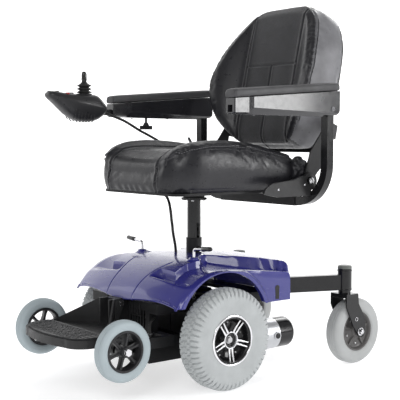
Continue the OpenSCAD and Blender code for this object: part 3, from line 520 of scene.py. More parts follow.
def build_shroud():
    grid, cols = shroud_sheet()
    rows = len(grid)
    v = [tuple(p) for p in grid.reshape(-1, 3)]
    f = grid_faces(rows, cols)
    parts = [(v, f)]
    # side walls, from the top's edge down to the wheel arch or the lower edge
    steps = 18
    for s in (1, -1):
        col = cols - 1 if s > 0 else 0
        wall = []
        for i in range(rows):
            x, y, z = grid[i, col]
            dy = y - ARCH[0]
            foot = 255 if y < -200 else 240
            low = ARCH[1] + math.sqrt(ARCH[2] ** 2 - dy ** 2) if abs(dy) < ARCH[2] else 0
            low = max(low, foot)
            low = min(low, z - 4)
            line = []
            for k in range(steps + 1):
                q = k / steps
                zz = z + (low - z) * q
                d = math.hypot(dy, zz - ARCH[1]) - ARCH[2]
                flare = 1 - float(step(d, 11, 20)) if low > foot + 1 or d < 20 else 0
                xx = 270 + 7 * flare
                roll = min(1.0, q * steps / 5)
                xx = 268 + (xx - 268) * math.sin(roll * math.pi / 2)
                line.append((s * xx, y, zz))
            # return lip
            line.append((s * (line[-1][0] * s - 3), y, low + 0.4))
            line.append((s * 262, y, low + 1.0))
            wall.append(line)
        n = steps + 3
        parts.append(([p for line in wall for p in line], grid_faces(rows, n)))
    # rear wall
    last = grid[-1]
    n = 12
    rear = []
    for x, y, z in last:
        foot = 240 + 4 * (1 - (x / 277) ** 2)
        inset = 214 > abs(x) > 160
        low = 302 if inset else foot
        rear.append([(x, y, z + (low - z) * k / n) for k in range(n + 1)]
                    + [(x * 0.985, y - 4, low + 0.5)])
    parts.append(([p for r in rear for p in r], grid_faces(len(rear), n + 2)))
    # turned-in hem along the apron's foot
    hem = []
    for x, y, z in grid[0]:
        hem.append([(x, y, z), (x, y + 1.5, z - 3.2), (x, y + 5, z - 3.4), (x, y + 6, z + 5)])
    parts.append(([p for r in hem for p in r], grid_faces(len(hem), 4)))
    o = piece("shroud_skin", *merged(parts), "paint", "base", ["shroud"], "shroud_paint")
    bm = bmesh.new()
    bm.from_mesh(o.data)
    bmesh.ops.remove_doubles(bm, verts=bm.verts, dist=0.0004)
    bm.to_mesh(o.data)
    bm.free()
    sharp(o, 32)
    wall = o.modifiers.new("Wall", "SOLIDIFY")
    wall.thickness = 0.003
    wall.offset = -1
    return o


def keyhole(s):
    """Flat dark patch of painted shade standing in for the open keyhole slot low in the rear of a side wall.
    """
    top = [(108 + 9 * math.cos(a), 280 + 9 * math.sin(a)) for a in np.linspace(-0.5, math.pi + 0.5, 16)]
    outline = [(115, 246)] + top + [(101, 246)]
    return prism(outline, lambda u, w, k: (s * (269.2 + 1.3 * k), u, w))


build_shroud()
# dark patches on the side walls: painted shade in place of the open keyhole slots
piece("shroud_slot_painted_shade", *merged(both(keyhole)), "inside", "base", slot="black_plastic", smooth=False)


def lever_ring(s):
    """Raised ring round a lever's hole."""
    z = float(shroud_top(np.array(137.0), np.array(-111.0)))
    profile = [(9, z - 4), (9, z + 2.2), (10, z + 3.6), (12, z + 3.8), (14, z + 2.6), (15.5, z - 4)]
    return lathe_z(profile, s * 137, -111, 40)


piece("lever_rings", *merged(both(lever_ring)), "paint", "base", slot="shroud_paint")


# ---------------------------------------------------------------- drive wheels
DX, DY, DZ, DR = 271.4, -100, 150.5, 150.5


def drive_tyre(s):
    """Carcass with centre blocks and long shoulder lugs cut by grooves."""
    bead, half, shoulder = 64, 39, 24
    prof = [(bead, -27.0), (66, -31.5), (72, -34)]
    prof += [(72 + (118 - 72) * k / 8, -34 - 4.2 * math.sin(math.pi / 2 * k / 8)) for k in range(1, 9)]
    a0 = [math.radians(270 + 4 + 86 * k / 16) for k in range(17)]
    prof += [(DR - shoulder + shoulder * math.cos(a), -half + shoulder + shoulder * math.sin(a)) for a in a0]
    flat = np.linspace(-15, 15, 17)[1:-1]
    prof += [(DR, float(u)) for u in flat]
    mirror = [(r, -u) for r, u in prof[:len(prof) - len(flat)]][::-1]
    prof = np.array(prof + mirror)
    prof[:, 0] -= 0.5 * (np.abs(prof[:, 1]) / half) ** 2 * (prof[:, 0] > 140)
    n = 1080
    theta = 2 * np.pi * np.arange(n) / n
    arc = np.concatenate([[0], np.cumsum(np.hypot(*np.diff(prof, axis=0).T))])
    mid = arc[len(prof) // 2]
    u = arc - mid
    U, T = np.meshgrid(u, theta)
    au = np.abs(U)
    pitch = 2 * np.pi / 54
    phase = (T / pitch) % 1.0
    phase2 = (T / pitch + 0.5 + 0.06 * np.sign(U)) % 1.0

    def groove(x, centre, half_w, soft=0.35):
        return 1 - step(np.abs(x - centre), half_w, half_w + soft)

    lug_skew = (phase + (au - 26) * 0.006 * np.sign(U)) % 1.0
    shoulder_cut = groove(lug_skew, 0.5, 0.11, 0.07) * step(au, 19, 21) * (1 - step(au, 47, 55))
    ring_cut = np.maximum(groove(au, 20, 1.2, 0.9), groove(au, 8.5, 1.0, 0.8))
    zig = 1.6 * np.sin(T / pitch * 2 * np.pi)
    ring_cut = np.maximum(ring_cut, groove(U - zig, 0, 0.9, 0.8) * (au < 6))
    block_cut = groove(phase2, 0.5, 0.09, 0.08) * (au < 19) * (au > 8)
    centre_cut = groove((phase + 0.25) % 1.0, 0.5, 0.06, 0.06) * (au < 8)
    sipe = groove(phase, 0.99, 0.015, 0.03) * (au > 21) * (au < 36) * 0.45
    depth = np.maximum.reduce([shoulder_cut, ring_cut * 0.8, block_cut * 0.9, centre_cut * 0.8, sipe])
    depth = depth * 5.2 * (1 - step(au, 44, 55))
    # fine rings moulded in the side wall
    for at, w, d in ((62, 0.7, -0.5), (70, 0.6, 0.5), (74, 0.6, 0.5), (84, 0.8, -0.7), (97, 0.5, 0.4)):
        depth = depth + d * groove(au, at, w, 0.6)
    d_prof = np.gradient(prof, axis=0)
    nrm = np.stack([d_prof[:, 1], -d_prof[:, 0]], 1)
    nrm /= np.linalg.norm(nrm, axis=1)[:, None]
    nrm[(prof[:, 0] - 100) * nrm[:, 0] + prof[:, 1] * nrm[:, 1] < 0] *= -1
    R = prof[None, :, 0] - depth * nrm[None, :, 0]
    X = prof[None, :, 1] - depth * nrm[None, :, 1]
    v = np.stack([s * (DX + X), DY + R * np.sin(T), DZ + R * np.cos(T)], 2).reshape(-1, 3)
    f = grid_faces(n, len(prof), wrap_rows=True, wrap_cols=True)
    return v, f


def rim_bar(s, angle, spread):
    """One of a pair of ribs from the hub to the ring, drawn out from the hub."""
    r0, r1 = 25, 66
    rings = []
    for k in range(9):
        q = k / 8
        r = r0 + (r1 - r0) * q
        off = spread * (5.2 + 1.6 * q)
        w = 2.7 - 0.5 * q + 0.9 * (1 - q) ** 3
        x = 27.5 + 6.0 * q ** 1.5
        ring = []
        for du, dx in ((-w, -6), (-w, -0.8), (-w + 0.9, 0), (w - 0.9, 0), (w, -0.8), (w, -6)):
            c, t = r, off + du
            ring.append((s * (DX + x + dx), DY + c * math.sin(angle) + t * math.cos(angle),
                         DZ + c * math.cos(angle) - t * math.sin(angle)))
        rings.append(ring)
    return loft(rings)


def drive_wheel(side, s):
    v, f = drive_tyre(s)
    piece(f"drive_tyre_treaded_{side}", v, f, "tyre", f"drive_wheel_{side}", [f"drive_tyre_{side}"],
          "drive_tyre")
    body = f"drive_wheel_{side}"
    # black dish: barrel, flange, inner wall and cup
    dish = [(58, -30), (63.6, -30), (63.6, 27), (66, 31), (68.4, 33.6), (68.4, 34.6), (64.5, 34.2),
            (62.5, 31.5), (60.5, 24), (58, 13), (50, 8), (28, 5.5), (24, 5), (24, -36), (12, -38),
            (10.6, -38),
            (10.6, 0), (20, 2.5), (27, 2.8), (51, 5), (57, 8)]
    piece(f"drive_dish_{side}", *lathe_x(dish, s * DX, DY, DZ, s, 96), "black_gloss", body,
          [f"drive_rim_{side}"], "drive_rim")
    ring = [(68.5, 34), (69, 36.6), (70.2, 37.4), (73.8, 37.2), (75.2, 36.2), (75.6, 34.6), (73, 34.2)]
    piece(f"drive_ring_{side}", *lathe_x(ring, s * DX, DY, DZ, s, 120), "silver", body, slot="post_steel")
    bars = [rim_bar(s, 2 * math.pi * i / 5 + math.pi, k) for i in range(5) for k in (-1, 1)]
    hub = [(17.5, 4), (24.5, 4), (26.2, 22), (26.4, 26.6), (25.2, 28.3), (22.5, 28.6), (21.4, 27), (20.2, 18)]
    bars.append(lathe_x(hub, s * DX, DY, DZ, s, 80))
    sharp(piece(f"drive_bars_{side}", *merged(bars), "silver", body, slot="post_steel"), 40)
    plug = [(10.8, 17.6), (20, 18), (20.4, 19.5), (18, 21), (14, 21.4), (12.6, 19)]
    piece(f"drive_hub_ring_{side}", *lathe_x(plug, s * DX, DY, DZ, s, 64), "black_gloss", body,
          slot="drive_rim")
    spots = []
    for i in range(5):
        a = 2 * math.pi * i / 5 + math.pi + math.pi / 5
        y, z = DY + 52 * math.sin(a), DZ + 52 * math.cos(a)
        spots.append(lathe_x([(0, 9), (0, 13), (2.6, 13), (3.6, 12), (3.6, 7)], s * DX, y, z, s, 6, False))
    piece(f"drive_rim_bolts_{side}", *merged(spots), "steel", body, slot="plated_steel")


for side, s in SIDES:
    drive_wheel(side, s)


# ---------------------------------------------------------------- front wheels
FX, FY, FZ, FR = 228, -430, 151.5, 87


def rounded_tyre(r, bead, w, shoulder, grooves, groove_w, groove_d):
    half = w / 2
    pts = [(bead, -half + 8), (bead + 5, -half + 3.0), (bead + 9, -half + 1)]
    wall = r - shoulder - bead - 9
    pts += [(bead + 9 + wall * k / 5, -half + 1 - math.sin(math.pi * k / 10)) for k in range(1, 5)]
    pts += [(r - shoulder + shoulder * math.cos(a), -half + shoulder + shoulder * math.sin(a))
            for a in (math.radians(-90 + 90 * k / 22) for k in range(23))]
    inner = np.linspace(-half + shoulder, half - shoulder, 9)[1:-1]
    left = pts
    pts = left + [(r, float(q)) for q in inner] + [(p, -q) for p, q in left[::-1]]
    prof = np.array(pts)
    # finer sampling
    arc = np.concatenate([[0], np.cumsum(np.hypot(*np.diff(prof, axis=0).T))])
    fine = np.linspace(0, arc[-1], 230)
    prof = np.stack([np.interp(fine, arc, prof[:, 0]), np.interp(fine, arc, prof[:, 1])], 1)
    cut = np.zeros(len(fine))
    for at in grooves:
        cut = np.maximum(cut, 1 - step(np.abs(prof[:, 1] - at), groove_w * 0.5, groove_w))
    cut = cut * (prof[:, 0] > r - shoulder)
    prof[:, 0] -= groove_d * cut
    return [tuple(p) for p in prof]


def front_wheel(side, s):
    body = f"front_wheel_{side}"
    prof = rounded_tyre(FR, 55, 38, 14, (-10.5, -3.5, 3.5, 10.5), 1.5, 1.6)
    piece(f"front_tyre_ribbed_{side}", *lathe_x(prof, s * FX, FY, FZ, s, 128), "tyre_front", body,
          [f"front_tyre_{side}"], "front_tyre")
    barrel = [(50.5, -16), (57.5, -16.4), (58.6, -15.2), (57.8, -13.6), (54.6, -10.4), (54.6, 10.4),
              (57.8, 13.6), (58.6, 15.2), (57.5, 16.4), (53, 16.2), (51.5, 14.5), (50.5, 8), (50.5, -8)]
    parts = [lathe_x(barrel, s * FX, FY, FZ, s, 96)]
    hub = [(9.5, -17), (15, -17), (16, -15), (17, 0), (16, 15), (15, 19.5), (13.5, 21), (9.5, 21)]
    parts.append(lathe_x(hub, s * FX, FY, FZ, s, 64))
    for i in range(6):
        a = math.pi / 3 * i + 0.25
        rings = []
        for k in range(7):
            q = k / 6
            r = 14 + 38 * q
            w = 3.4 + 2.2 * (2 * q - 1) ** 2
            ring = [(-w, -8), (w, -8), (w, 7.5), (w - 1, 9.2), (-w + 1, 9.2), (-w, 7.5)]
            rings.append([(s * (FX + dx + 2 * (1 - q)), FY + r * math.sin(a) + u * math.cos(a),
                           FZ + r * math.cos(a) - u * math.sin(a)) for u, dx in ring])
        parts.append(loft(rings))
    sharp(piece(f"front_rim_spoked_{side}", *merged(parts), "rim_front", body, [f"front_rim_{side}"],
                "front_rim"), 38)
    bearing = [(6.2, 20.6), (9.2, 20.8), (9.4, 22.6), (8.2, 22.9), (6.4, 22)]
    piece(f"front_bearing_{side}", *lathe_x(bearing, s * FX, FY, FZ, s, 48), "silver", body,
          slot="plated_steel")


for side, s in SIDES:
    front_wheel(side, s)


# ---------------------------------------------------------------- rear casters
CX, CY, CZ, CR = 264.5, 450, 107, 107


def caster_wheel(side, s):
    body = f"caster_wheel_{side}"
    prof = rounded_tyre(CR, 62, 53, 19, (-13.5, -4.5, 4.5, 13.5), 1.7, 2.0)
    piece(f"caster_tyre_ribbed_{side}", *lathe_x(prof, s * CX, CY, CZ, s, 128), "tyre_caster", body,
          [f"caster_tyre_{side}"], "caster_tyre")
    face = [(61.6, 0), (61.6, 17), (64.5, 20.6), (64.2, 22.2), (61, 22.6), (58, 20), (55, 12), (50, 9.5),
            (30, 11), (22, 15), (20, 21), (17.5, 22.6), (9.6, 22.6), (9.6, 0)]
    profile = face + [(r, -x) for r, x in face[::-1][1:-1]]
    parts = [lathe_x(profile, s * CX, CY, CZ, s, 96)]
    for i in range(5):
        a = 2 * math.pi * i / 5
        for k in (-1, 1):
            rings = []
            for j in range(6):
                q = j / 5
                r = 20 + 38 * q
                w = 3.5 + 2.5 * q
                ring = [(-w, 8), (w, 8), (w * 0.6, 15 + 3 * (1 - q)), (-w * 0.6, 15 + 3 * (1 - q))]
                rings.append([(s * CX + k * dx, CY + r * math.sin(a) + u * math.cos(a),
                               CZ + r * math.cos(a) - u * math.sin(a)) for u, dx in ring])
            parts.append(loft(rings))
    sharp(piece(f"caster_rim_ribbed_{side}", *merged(parts), "rim_caster", body, [f"caster_rim_{side}"],
                "caster_rim"), 40)
    bolts = []
    for i in range(5):
        a = 2 * math.pi * (i + 0.5) / 5
        for k in (-1, 1):
            bolts.append(lathe_x([(0, 9), (0, 14.5), (3, 14.5), (4.2, 13.2), (4.2, 8)], s * CX,
                                 CY + 41 * math.sin(a), CZ + 41 * math.cos(a), k, 6, False))
    piece(f"caster_rim_bolts_{side}", *merged(bolts), "steel", body, slot="plated_steel")


for side, s in SIDES:
    caster_wheel(side, s)


# ---------------------------------------------------------------- padded pieces
def swell(o, voxel, pressure, cap_mm, frames=20, hold=None):
    """Fills a padded form with air so that it crowns, then keeps how far each point may move."""
    m = o.modifiers.new("Remesh", "REMESH")
    m.mode = "VOXEL"
    m.voxel_size = voxel
    m.use_smooth_shade = True
    apply_modifiers(o)
    rest = np.array([v.co for v in o.data.vertices])
    scene = bpy.context.scene
    c = o.modifiers.new("Cloth", "CLOTH")
    c.settings.quality = 5
    c.settings.mass = 0.4
    c.settings.use_pressure = True
    c.settings.uniform_pressure_force = pressure
    c.settings.tension_stiffness = 18
    c.settings.compression_stiffness = 18
    c.settings.shear_stiffness = 8
    c.settings.bending_stiffness = 1.5
    c.settings.effector_weights.gravity = 0
    c.collision_settings.use_collision = False
    c.collision_settings.use_self_collision = False
    if hold is not None:
        g = o.vertex_groups.new(name="held")
        w = hold(rest)
        for i in np.nonzero(w > 0.01)[0]:
            g.add([int(i)], float(w[i]), "REPLACE")
        c.settings.vertex_group_mass = "held"
    c.point_cache.frame_start, c.point_cache.frame_end = 1, frames
    for fnum in range(1, frames + 1):
        scene.frame_set(fnum)
    dg = bpy.context.evaluated_depsgraph_get()
    done = o.evaluated_get(dg)
    moved = np.array([v.co for v in done.data.vertices])
    scene.frame_set(1)
    o.modifiers.clear()
    d = moved - rest
    far = np.linalg.norm(d, axis=1)
    k = np.minimum(1, cap_mm * MM / np.maximum(far, 1e-9))
    out = rest + d * k[:, None]
    o.data.vertices.foreach_set("co", out.astype(np.float32).ravel())
    o.data.update()
    o.vertex_groups.clear()
    subdivided(o, 1)
    apply_modifiers(o)
    for p in o.data.polygons:
        p.use_smooth = True
    return o


def coords(o):
    return np.array([v.co for v in o.data.vertices]) / MM


def normals(o):
    n = np.empty(len(o.data.vertices) * 3, np.float32)
    o.data.vertices.foreach_get("normal", n)
    return n.reshape(-1, 3).astype(float)


def set_coords(o, p):
    o.data.vertices.foreach_set("co", (p * MM).astype(np.float32).ravel())
    o.data.update()


def seam(dist, width, depth, lip=0.25):
    """Pull-in along a seam, with a slight swell beside it."""
    swollen = np.exp(-((dist - 3.2 * width) / (1.8 * width)) ** 2)
    return depth * np.exp(-(dist / width) ** 2) - lip * depth * swollen


def stitches(points, normal, length=3.2, gap_mm=2.2, r=0.45, off=0.5):
    """Short thread stitches along a path that lies on a surface."""
    p = [Vector(q) for q in points]
    run = [0.0]
    for a, b in zip(p, p[1:]):
        run.append(run[-1] + (b - a).length)
    parts, d = [], 0.0

    def at(q):
        i = min(max(int(np.searchsorted(run, q)) - 1, 0), len(p) - 2)
        t = (q - run[i]) / max(run[i + 1] - run[i], 1e-6)
        n = (Vector(normal[i]) * (1 - t) + Vector(normal[i + 1]) * t).normalized()
        return p[i].lerp(p[i + 1], t), n

    while d + length < run[-1]:
        pts = []
        for k, lift in ((0, -0.4), (0.25, 0.45), (0.75, 0.45), (1, -0.4)):
            q, n = at(d + length * k)
            pts.append(tuple(q + n * (off + lift)))
        parts.append(tube(pts, r, 6))
        d += length + gap_mm
    return parts


def surface_path(o, guides, push=0.0):
    """Projects guide points on to a mesh and returns the points and normals in millimetres."""
    co = coords(o)
    tree = BVHTree.FromPolygons([tuple(c) for c in co], [tuple(p.vertices) for p in o.data.polygons])
    out, nrm = [], []
    for g in guides:
        hit, n, _, _ = tree.find_nearest(Vector(g))
        out.append(tuple(hit + n * push))
        nrm.append(tuple(n))
    return out, nrm


# ---------------------------------------------------------------- seat cushion
def seat_profile(y):
    """Cross-section of the seat at a place along it: half-width, crest and middle heights."""
    crest = np.interp(y, [-250, -235, -210, -170, -110, -40, 40, 110, 180, 225, 240],
                      [672, 694, 710, 724, 732, 733, 728, 718, 702, 694, 690])
    mid = np.interp(y, [-250, -230, -190, -120, 0, 120, 200, 240], [664, 687, 698, 703, 700, 694, 684, 668])
    half = 230.0
    if y < -145:
        half = 125 + math.sqrt(max(105 ** 2 - (145 + y) ** 2, 0))
    elif y > 222:
        half = 212 + math.sqrt(max(18 ** 2 - (y - 222) ** 2, 0))
    return float(half), float(crest), float(mid)


def seat_ring(y):
    half, crest, mid = seat_profile(y)
    low = 578.0
    half, crest, mid = half - 6, crest - 6, mid - 6
    up = [(0, mid), (40, mid), (80, mid + 0.5), (112, mid + 3), (132, mid + (crest - mid) * 0.45),
          (152, mid + (crest - mid) * 0.85), (172, crest - 0.5), (190, crest), (half - 20, crest - 9),
          (half - 7, crest - 24), (half - 1, crest - 46), (half, (crest + low) / 2), (half - 1, low + 34),
          (half - 6, low + 14), (half - 16, low + 3), (half - 34, low), (150, low), (80, low), (0, low)]
    ring = [(x, z) for x, z in up] + [(-x, z) for x, z in up[-2:0:-1]]
    return [(x, y, z) for x, z in ring]


def build_seat():
    ys = [-246, -244, -240, -232, -220, -204, -184, -160, -130, -90, -40, 10, 60, 110, 150, 185, 212, 226,
          234, 238]
    rings = []
    for i, y in enumerate(ys):
        ring = seat_ring(y)
        edge = {0: 0.78, 1: 0.9, 2: 0.97}.get(i, {0: 0.9, 1: 0.97}.get(len(ys) - 1 - i, 1.0))
        cz = 628
        ring = [(x, yy, cz + (z - cz) * edge) for x, yy, z in ring]
        rings.append(ring)
    o = piece("seat_cushion_sewn", *loft(rings), "vinyl", None)
    subdivided(o, 2)
    apply_modifiers(o)
    swell(o, 0.0055, 4.0, 7.0, 20, hold=lambda r: np.clip((0.592 - r[:, 2]) / 0.012, 0, 1))
    p, n = coords(o), normals(o)
    x, y, z = p.T
    ax = np.abs(x)
    up = np.clip(n[:, 2], 0, 1)
    # front panel seams, running back over the top beside the bolsters
    line = np.interp(y, [-260, -200, -120, 0, 140, 240], [124, 126, 121, 118, 122, 132])
    front_or_top = np.clip(-n[:, 1], 0, 1) + up
    d = seam(np.abs(ax - line), 2.4, 4.2) * np.clip(front_or_top * 1.4, 0, 1)
    # top seam: where the seat's top meets its side band, dipping at the rear
    crest = np.array([seat_profile(v)[1] for v in np.linspace(-250, 240, 120)])
    crest_y = np.interp(y, np.linspace(-250, 240, 120), crest)
    band = crest_y - 17
    d = d + seam(np.abs(z - band), 2.0, 2.6) * (ax > line + 30) * (n[:, 2] < 0.92) * step(y, -225, -195)
    # cross seam of the middle panel on top
    d = d + seam(np.abs(y - 60), 2.4, 3.2) * (ax < line) * (up > 0.5)
    # gathers along the lower edge
    low = np.clip((600 - z) / 16, 0, 1)
    run = np.where(np.abs(n[:, 0]) > np.abs(n[:, 1]), y, x)
    amount = 0.15 + 0.85 * (1 - step(y, -175, -130))
    d = d + low * amount * (1.4 + 1.6 * np.sin(run / 5.6 + 1.3 * np.sin(run / 31))) * (np.abs(n[:, 2]) < 0.8)
    # soft puckers running away from the seams
    pucker = np.exp(-(np.abs(z - band) / 11) ** 2) * (ax > line + 30)
    d = d + 0.5 * pucker * np.sin(y / 3.3 + 1.7 * np.sin(y / 17)) * step(y, -225, -195)
    q = p - n * d[:, None]
    # flat where it rests on the pan
    q[:, 2] = np.maximum(q[:, 2], 577.0)
    q[:, 2] = np.where((n[:, 2] < -0.8) & (q[:, 2] < 585), 577.0, q[:, 2])
    set_coords(o, q)
    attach(o, "seat")
    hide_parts("seat_cushion")
    return o


seat = build_seat()


def seat_stitching():
    parts, cords = [], []
    for s in (1, -1):
        guide = []
        for y in np.linspace(-214, 205, 80):
            half, crest, _ = seat_profile(float(y))
            guide.append((s * (half - 12), float(y), crest - 8.5))
        pts, nrm = surface_path(seat, guide)
        parts += stitches(pts, nrm, 4.6, 3.4, 0.75, 0.5)
        guide = []
        for y in np.linspace(-214, 205, 80):
            half, crest, _ = seat_profile(float(y))
            guide.append((s * (half + 4), float(y), crest - 17))
        pts, nrm = surface_path(seat, guide, -1.6)
        cords.append(tube(pts, 2.0, 8))
        guide = [(s * 125, -262, z) for z in np.linspace(598, 676, 24)]
        pts, nrm = surface_path(seat, guide, -0.8)
        cords.append(tube(pts, 1.5, 8))
    o = piece("seat_stitches", *merged(parts), "thread", "seat", slot="seat_vinyl")
    w = piece("seat_piping", *merged(cords), "vinyl", "seat", slot="seat_vinyl")
    return o, w


seat_stitching()


# ---------------------------------------------------------------- backrest cushion
LEAN = math.radians(11.75)
BACK_AT = (277, 712)


def back_to_row(p):
    """From the backrest's own frame (across, back, up the slope) to the row frame."""
    x, y, z = p
    return (x, BACK_AT[0] + y * math.cos(LEAN) + z * math.sin(LEAN),
            BACK_AT[1] - y * math.sin(LEAN) + z * math.cos(LEAN))


FRONT_HALF = ([0, 10, 19, 40, 70, 110, 160, 208, 250, 294, 340, 386, 420, 447, 466, 478, 489],
              [112, 132, 146, 170, 196, 221, 243, 252, 249, 238, 222, 200, 182, 158, 136, 112, 78])
REAR_HALF = ([0, 15, 40, 80, 140, 200, 250, 300, 355, 400, 430, 455, 470, 489],
             [146, 170, 198, 220, 235, 242, 243, 241, 233, 214, 192, 164, 140, 88])
CROWN = ([0, 12, 25, 45, 80, 130, 208, 294, 350, 386, 430, 460, 489],
         [0, 6, 16, 32, 54, 69, 76, 60, 43, 29, 11, 3, 0])
PANEL = 122


def along(table, z):
    return np.interp(z, *table)


def panel_edge(z):
    """Half-width of the fabric panel up the slope."""
    return np.minimum(PANEL, along(FRONT_HALF, z) - 16)


def back_ring(z):
    """Cross-section: flat middle, side cushions that stand forward, side panels widening to the rear."""
    w, r, lift = float(along(FRONT_HALF, z)) - 4, float(along(REAR_HALF, z)) - 4, float(along(CROWN, z))
    inner = float(panel_edge(z))
    span = w - 14 - inner
    up = [(0, 0), (inner * 0.5, 0), (inner - 2, 1), (inner + span * 0.3, -lift * 0.34),
          (inner + span * 0.65, -lift * 0.74), (w - 14, -lift), (w - 3, -lift + 3), (w, -lift + 14),
          (w + (r - w) * 0.35, -lift + 42), (w + (r - w) * 0.75, 38), (r, 72), (r - 3, 92),
          (r - 16, 103), (r * 0.55, 107), (0, 107)]
    return [(x, y, z) for x, y in up] + [(-x, y, z) for x, y in up[-2:0:-1]]


def build_back():
    zs = [3, 7, 16, 30, 50, 78, 112, 150, 190, 230, 270, 310, 345, 378, 405, 428, 448, 464, 476, 484, 488]
    rings = []
    for i, z in enumerate(zs):
        ring = back_ring(z)
        from_top = {0: 0.44, 1: 0.64, 2: 0.8, 3: 0.92}.get(len(zs) - 1 - i, 1.0)
        squeeze = {0: 0.66, 1: 0.84, 2: 0.95}.get(i, from_top)
        ring = [(x, 60 + (y - 60) * squeeze, zz) for x, y, zz in ring]
        rings.append([back_to_row(p) for p in ring])
    o = piece("backrest_cushion_sewn", *loft(rings), "vinyl", None)
    subdivided(o, 2)
    apply_modifiers(o)
    swell(o, 0.0055, 3.6, 5.0, 18)
    p, n = coords(o), normals(o)
    c, s_ = math.cos(LEAN), math.sin(LEAN)
    bx = p[:, 0]
    by = (p[:, 1] - BACK_AT[0]) * c - (p[:, 2] - BACK_AT[1]) * s_
    bz = (p[:, 1] - BACK_AT[0]) * s_ + (p[:, 2] - BACK_AT[1]) * c
    ny = n[:, 1] * c - n[:, 2] * s_
    ax = np.abs(bx)
    edge, lift = panel_edge(bz), along(CROWN, bz)
    face = np.clip(-ny * 1.6, 0, 1)
    d = seam(np.abs(ax - edge), 2.4, 4.6) * face
    inside = ax < edge
    d = d + seam(np.abs(bz - 274), 2.4, 3.6) * face * inside
    lower = inside * (bz < 274)
    d = d + seam(ax, 2.0, 3.4) * face * lower
    # soft swell of each panel between its seams
    upper = np.cos(np.pi * ax / 2 / np.maximum(edge, 1))
    cell = np.where(bz < 274, np.abs(np.sin(np.pi * ax / PANEL)), upper)
    d = d - 3.0 * np.clip(cell, 0, 1) * face * inside * step(bz, 20, 60) * (1 - step(bz, 400, 450))
    # gathered seam where the side panel meets the side cushion, and the rear boxing seam
    gather = -lift + 16
    outer = (ax > edge + 16) * (n[:, 0] * np.sign(bx) > 0.2)
    near = np.abs(by - gather)
    d = d + seam(near, 2.0, 3.6) * outer * (ny < 0.6) * step(bz, 40, 90)
    d = d + seam(np.abs(by - 84), 2.0, 2.2) * (np.abs(ny) < 0.8)
    g = np.exp(-(near / 10) ** 2) * outer * step(bz, 60, 120) * (1 - step(bz, 380, 430))
    d = d + 0.8 * g * np.sin(bz / 2.9 + 1.9 * np.sin(bz / 19))
    q = p - n * d[:, None]
    qy = (q[:, 1] - BACK_AT[0]) * c - (q[:, 2] - BACK_AT[1]) * s_
    over = np.maximum(0, qy - 108.0)
    q[:, 1] -= over * c
    q[:, 2] += over * s_
    set_coords(o, q)
    me = o.data
    me.materials.append(M["cloth"])
    me.materials.append(M["vinyl_painted_highlight"])
    for pl in me.polygons:
        i = pl.vertices[0]
        if ax[i] < edge[i] - 0.5 and ny[i] < -0.25 and bz[i] > 14:
            pl.material_index = 1
        # side panels between the gathered seam and the boxing seam take the lighter grey vinyl, a painted
        # highlight
        elif by[i] > gather[i] and by[i] < 84 and abs(ny[i]) < 0.85 and outer[i]:
            pl.material_index = 2
    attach(o, "backrest")
    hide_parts("backrest_cushion")
    return o


back = build_back()


def back_piping():
    parts, sew = [], []
    for s in (1, -1):
        for off, push, target in ((0, -1.0, parts), (-7, 0.0, sew)):
            guide = []
            for z in np.linspace(70, 430, 70):
                y = 16 - float(along(CROWN, z)) + off
                guide.append(back_to_row((s * (float(along(FRONT_HALF, z)) + 8), y, z)))
            pts, nrm = surface_path(back, guide, push)
            if target is parts:
                parts.append(tube(pts, 1.9, 8))
            else:
                sew += stitches(pts, nrm, 4.6, 3.6, 0.5, 0.3)
    piece("backrest_piping", *merged(parts), "vinyl", "backrest", slot="back_upholstery")
    piece("backrest_stitches", *merged(sew), "thread", "backrest", slot="back_upholstery")


back_piping()


# ---------------------------------------------------------------- armrests
ARM_X, ARM_FRONT, ARM_REAR = 313.8, -118.0, 306.0
PAD_SLOPE = math.tan(math.radians(4.2))


def under_pad(y):
    return 851 + (y + 120) * PAD_SLOPE


def arm_housing(side, s):
    """Glossy moulding with a light lower bevel, a narrower nose and a square socket in its front."""
    rings = []
    sections = ((-118, 19, 812, 808), (-115.5, 21, 811, 806), (-64, 21, 811, 806), (-47, 23, 825, 805.5),
                (60, 23, 821, 804), (180, 23, 817, 803), (290, 23, 813.5, 802), (302, 23, 815, 806),
                (306, 22, 822, 816))
    for y, w, bevel, low in sections:
        top = under_pad(y) - 0.2
        rings.append([(s * ARM_X - w, y, top), (s * ARM_X - w, y, bevel), (s * ARM_X - w + 11, y, low),
                      (s * ARM_X + w - 11, y, low), (s * ARM_X + w, y, bevel), (s * ARM_X + w, y, top)])
    o = piece(f"armrest_{side}_moulding", *loft(rings), "arm", None, smooth=False)
    cut(o, (s * ARM_X - 10.2, -130, 811.8), (s * ARM_X + 10.2, 75, 832.2))
    cut(o, (s * ARM_X - 17, 240, 780), (s * ARM_X + 17, 320, 856))
    bevelled(o, 1.2, 2, 25)
    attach(o, f"armrest_{side}")
    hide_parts(f"armrest_{side}")
    bolt = [lathe_x([(0, 0), (6.5, 0), (7.5, 1), (7.5, 2.6), (3.4, 2.6), (3.2, 0.9), (0, 0.9)],
                    s * (ARM_X + 22.4), 274, 826, s, 24, False)]
    for y in (-30, 120):
        bolt.append(lathe_z([(0, 804), (4.2, 804), (4.6, 803), (4, 801.6), (0, 801.3)], s * ARM_X, y, 20))
    piece(f"armrest_{side}_bolts", *merged(bolt), "dark_steel", f"armrest_{side}", slot="plated_steel")


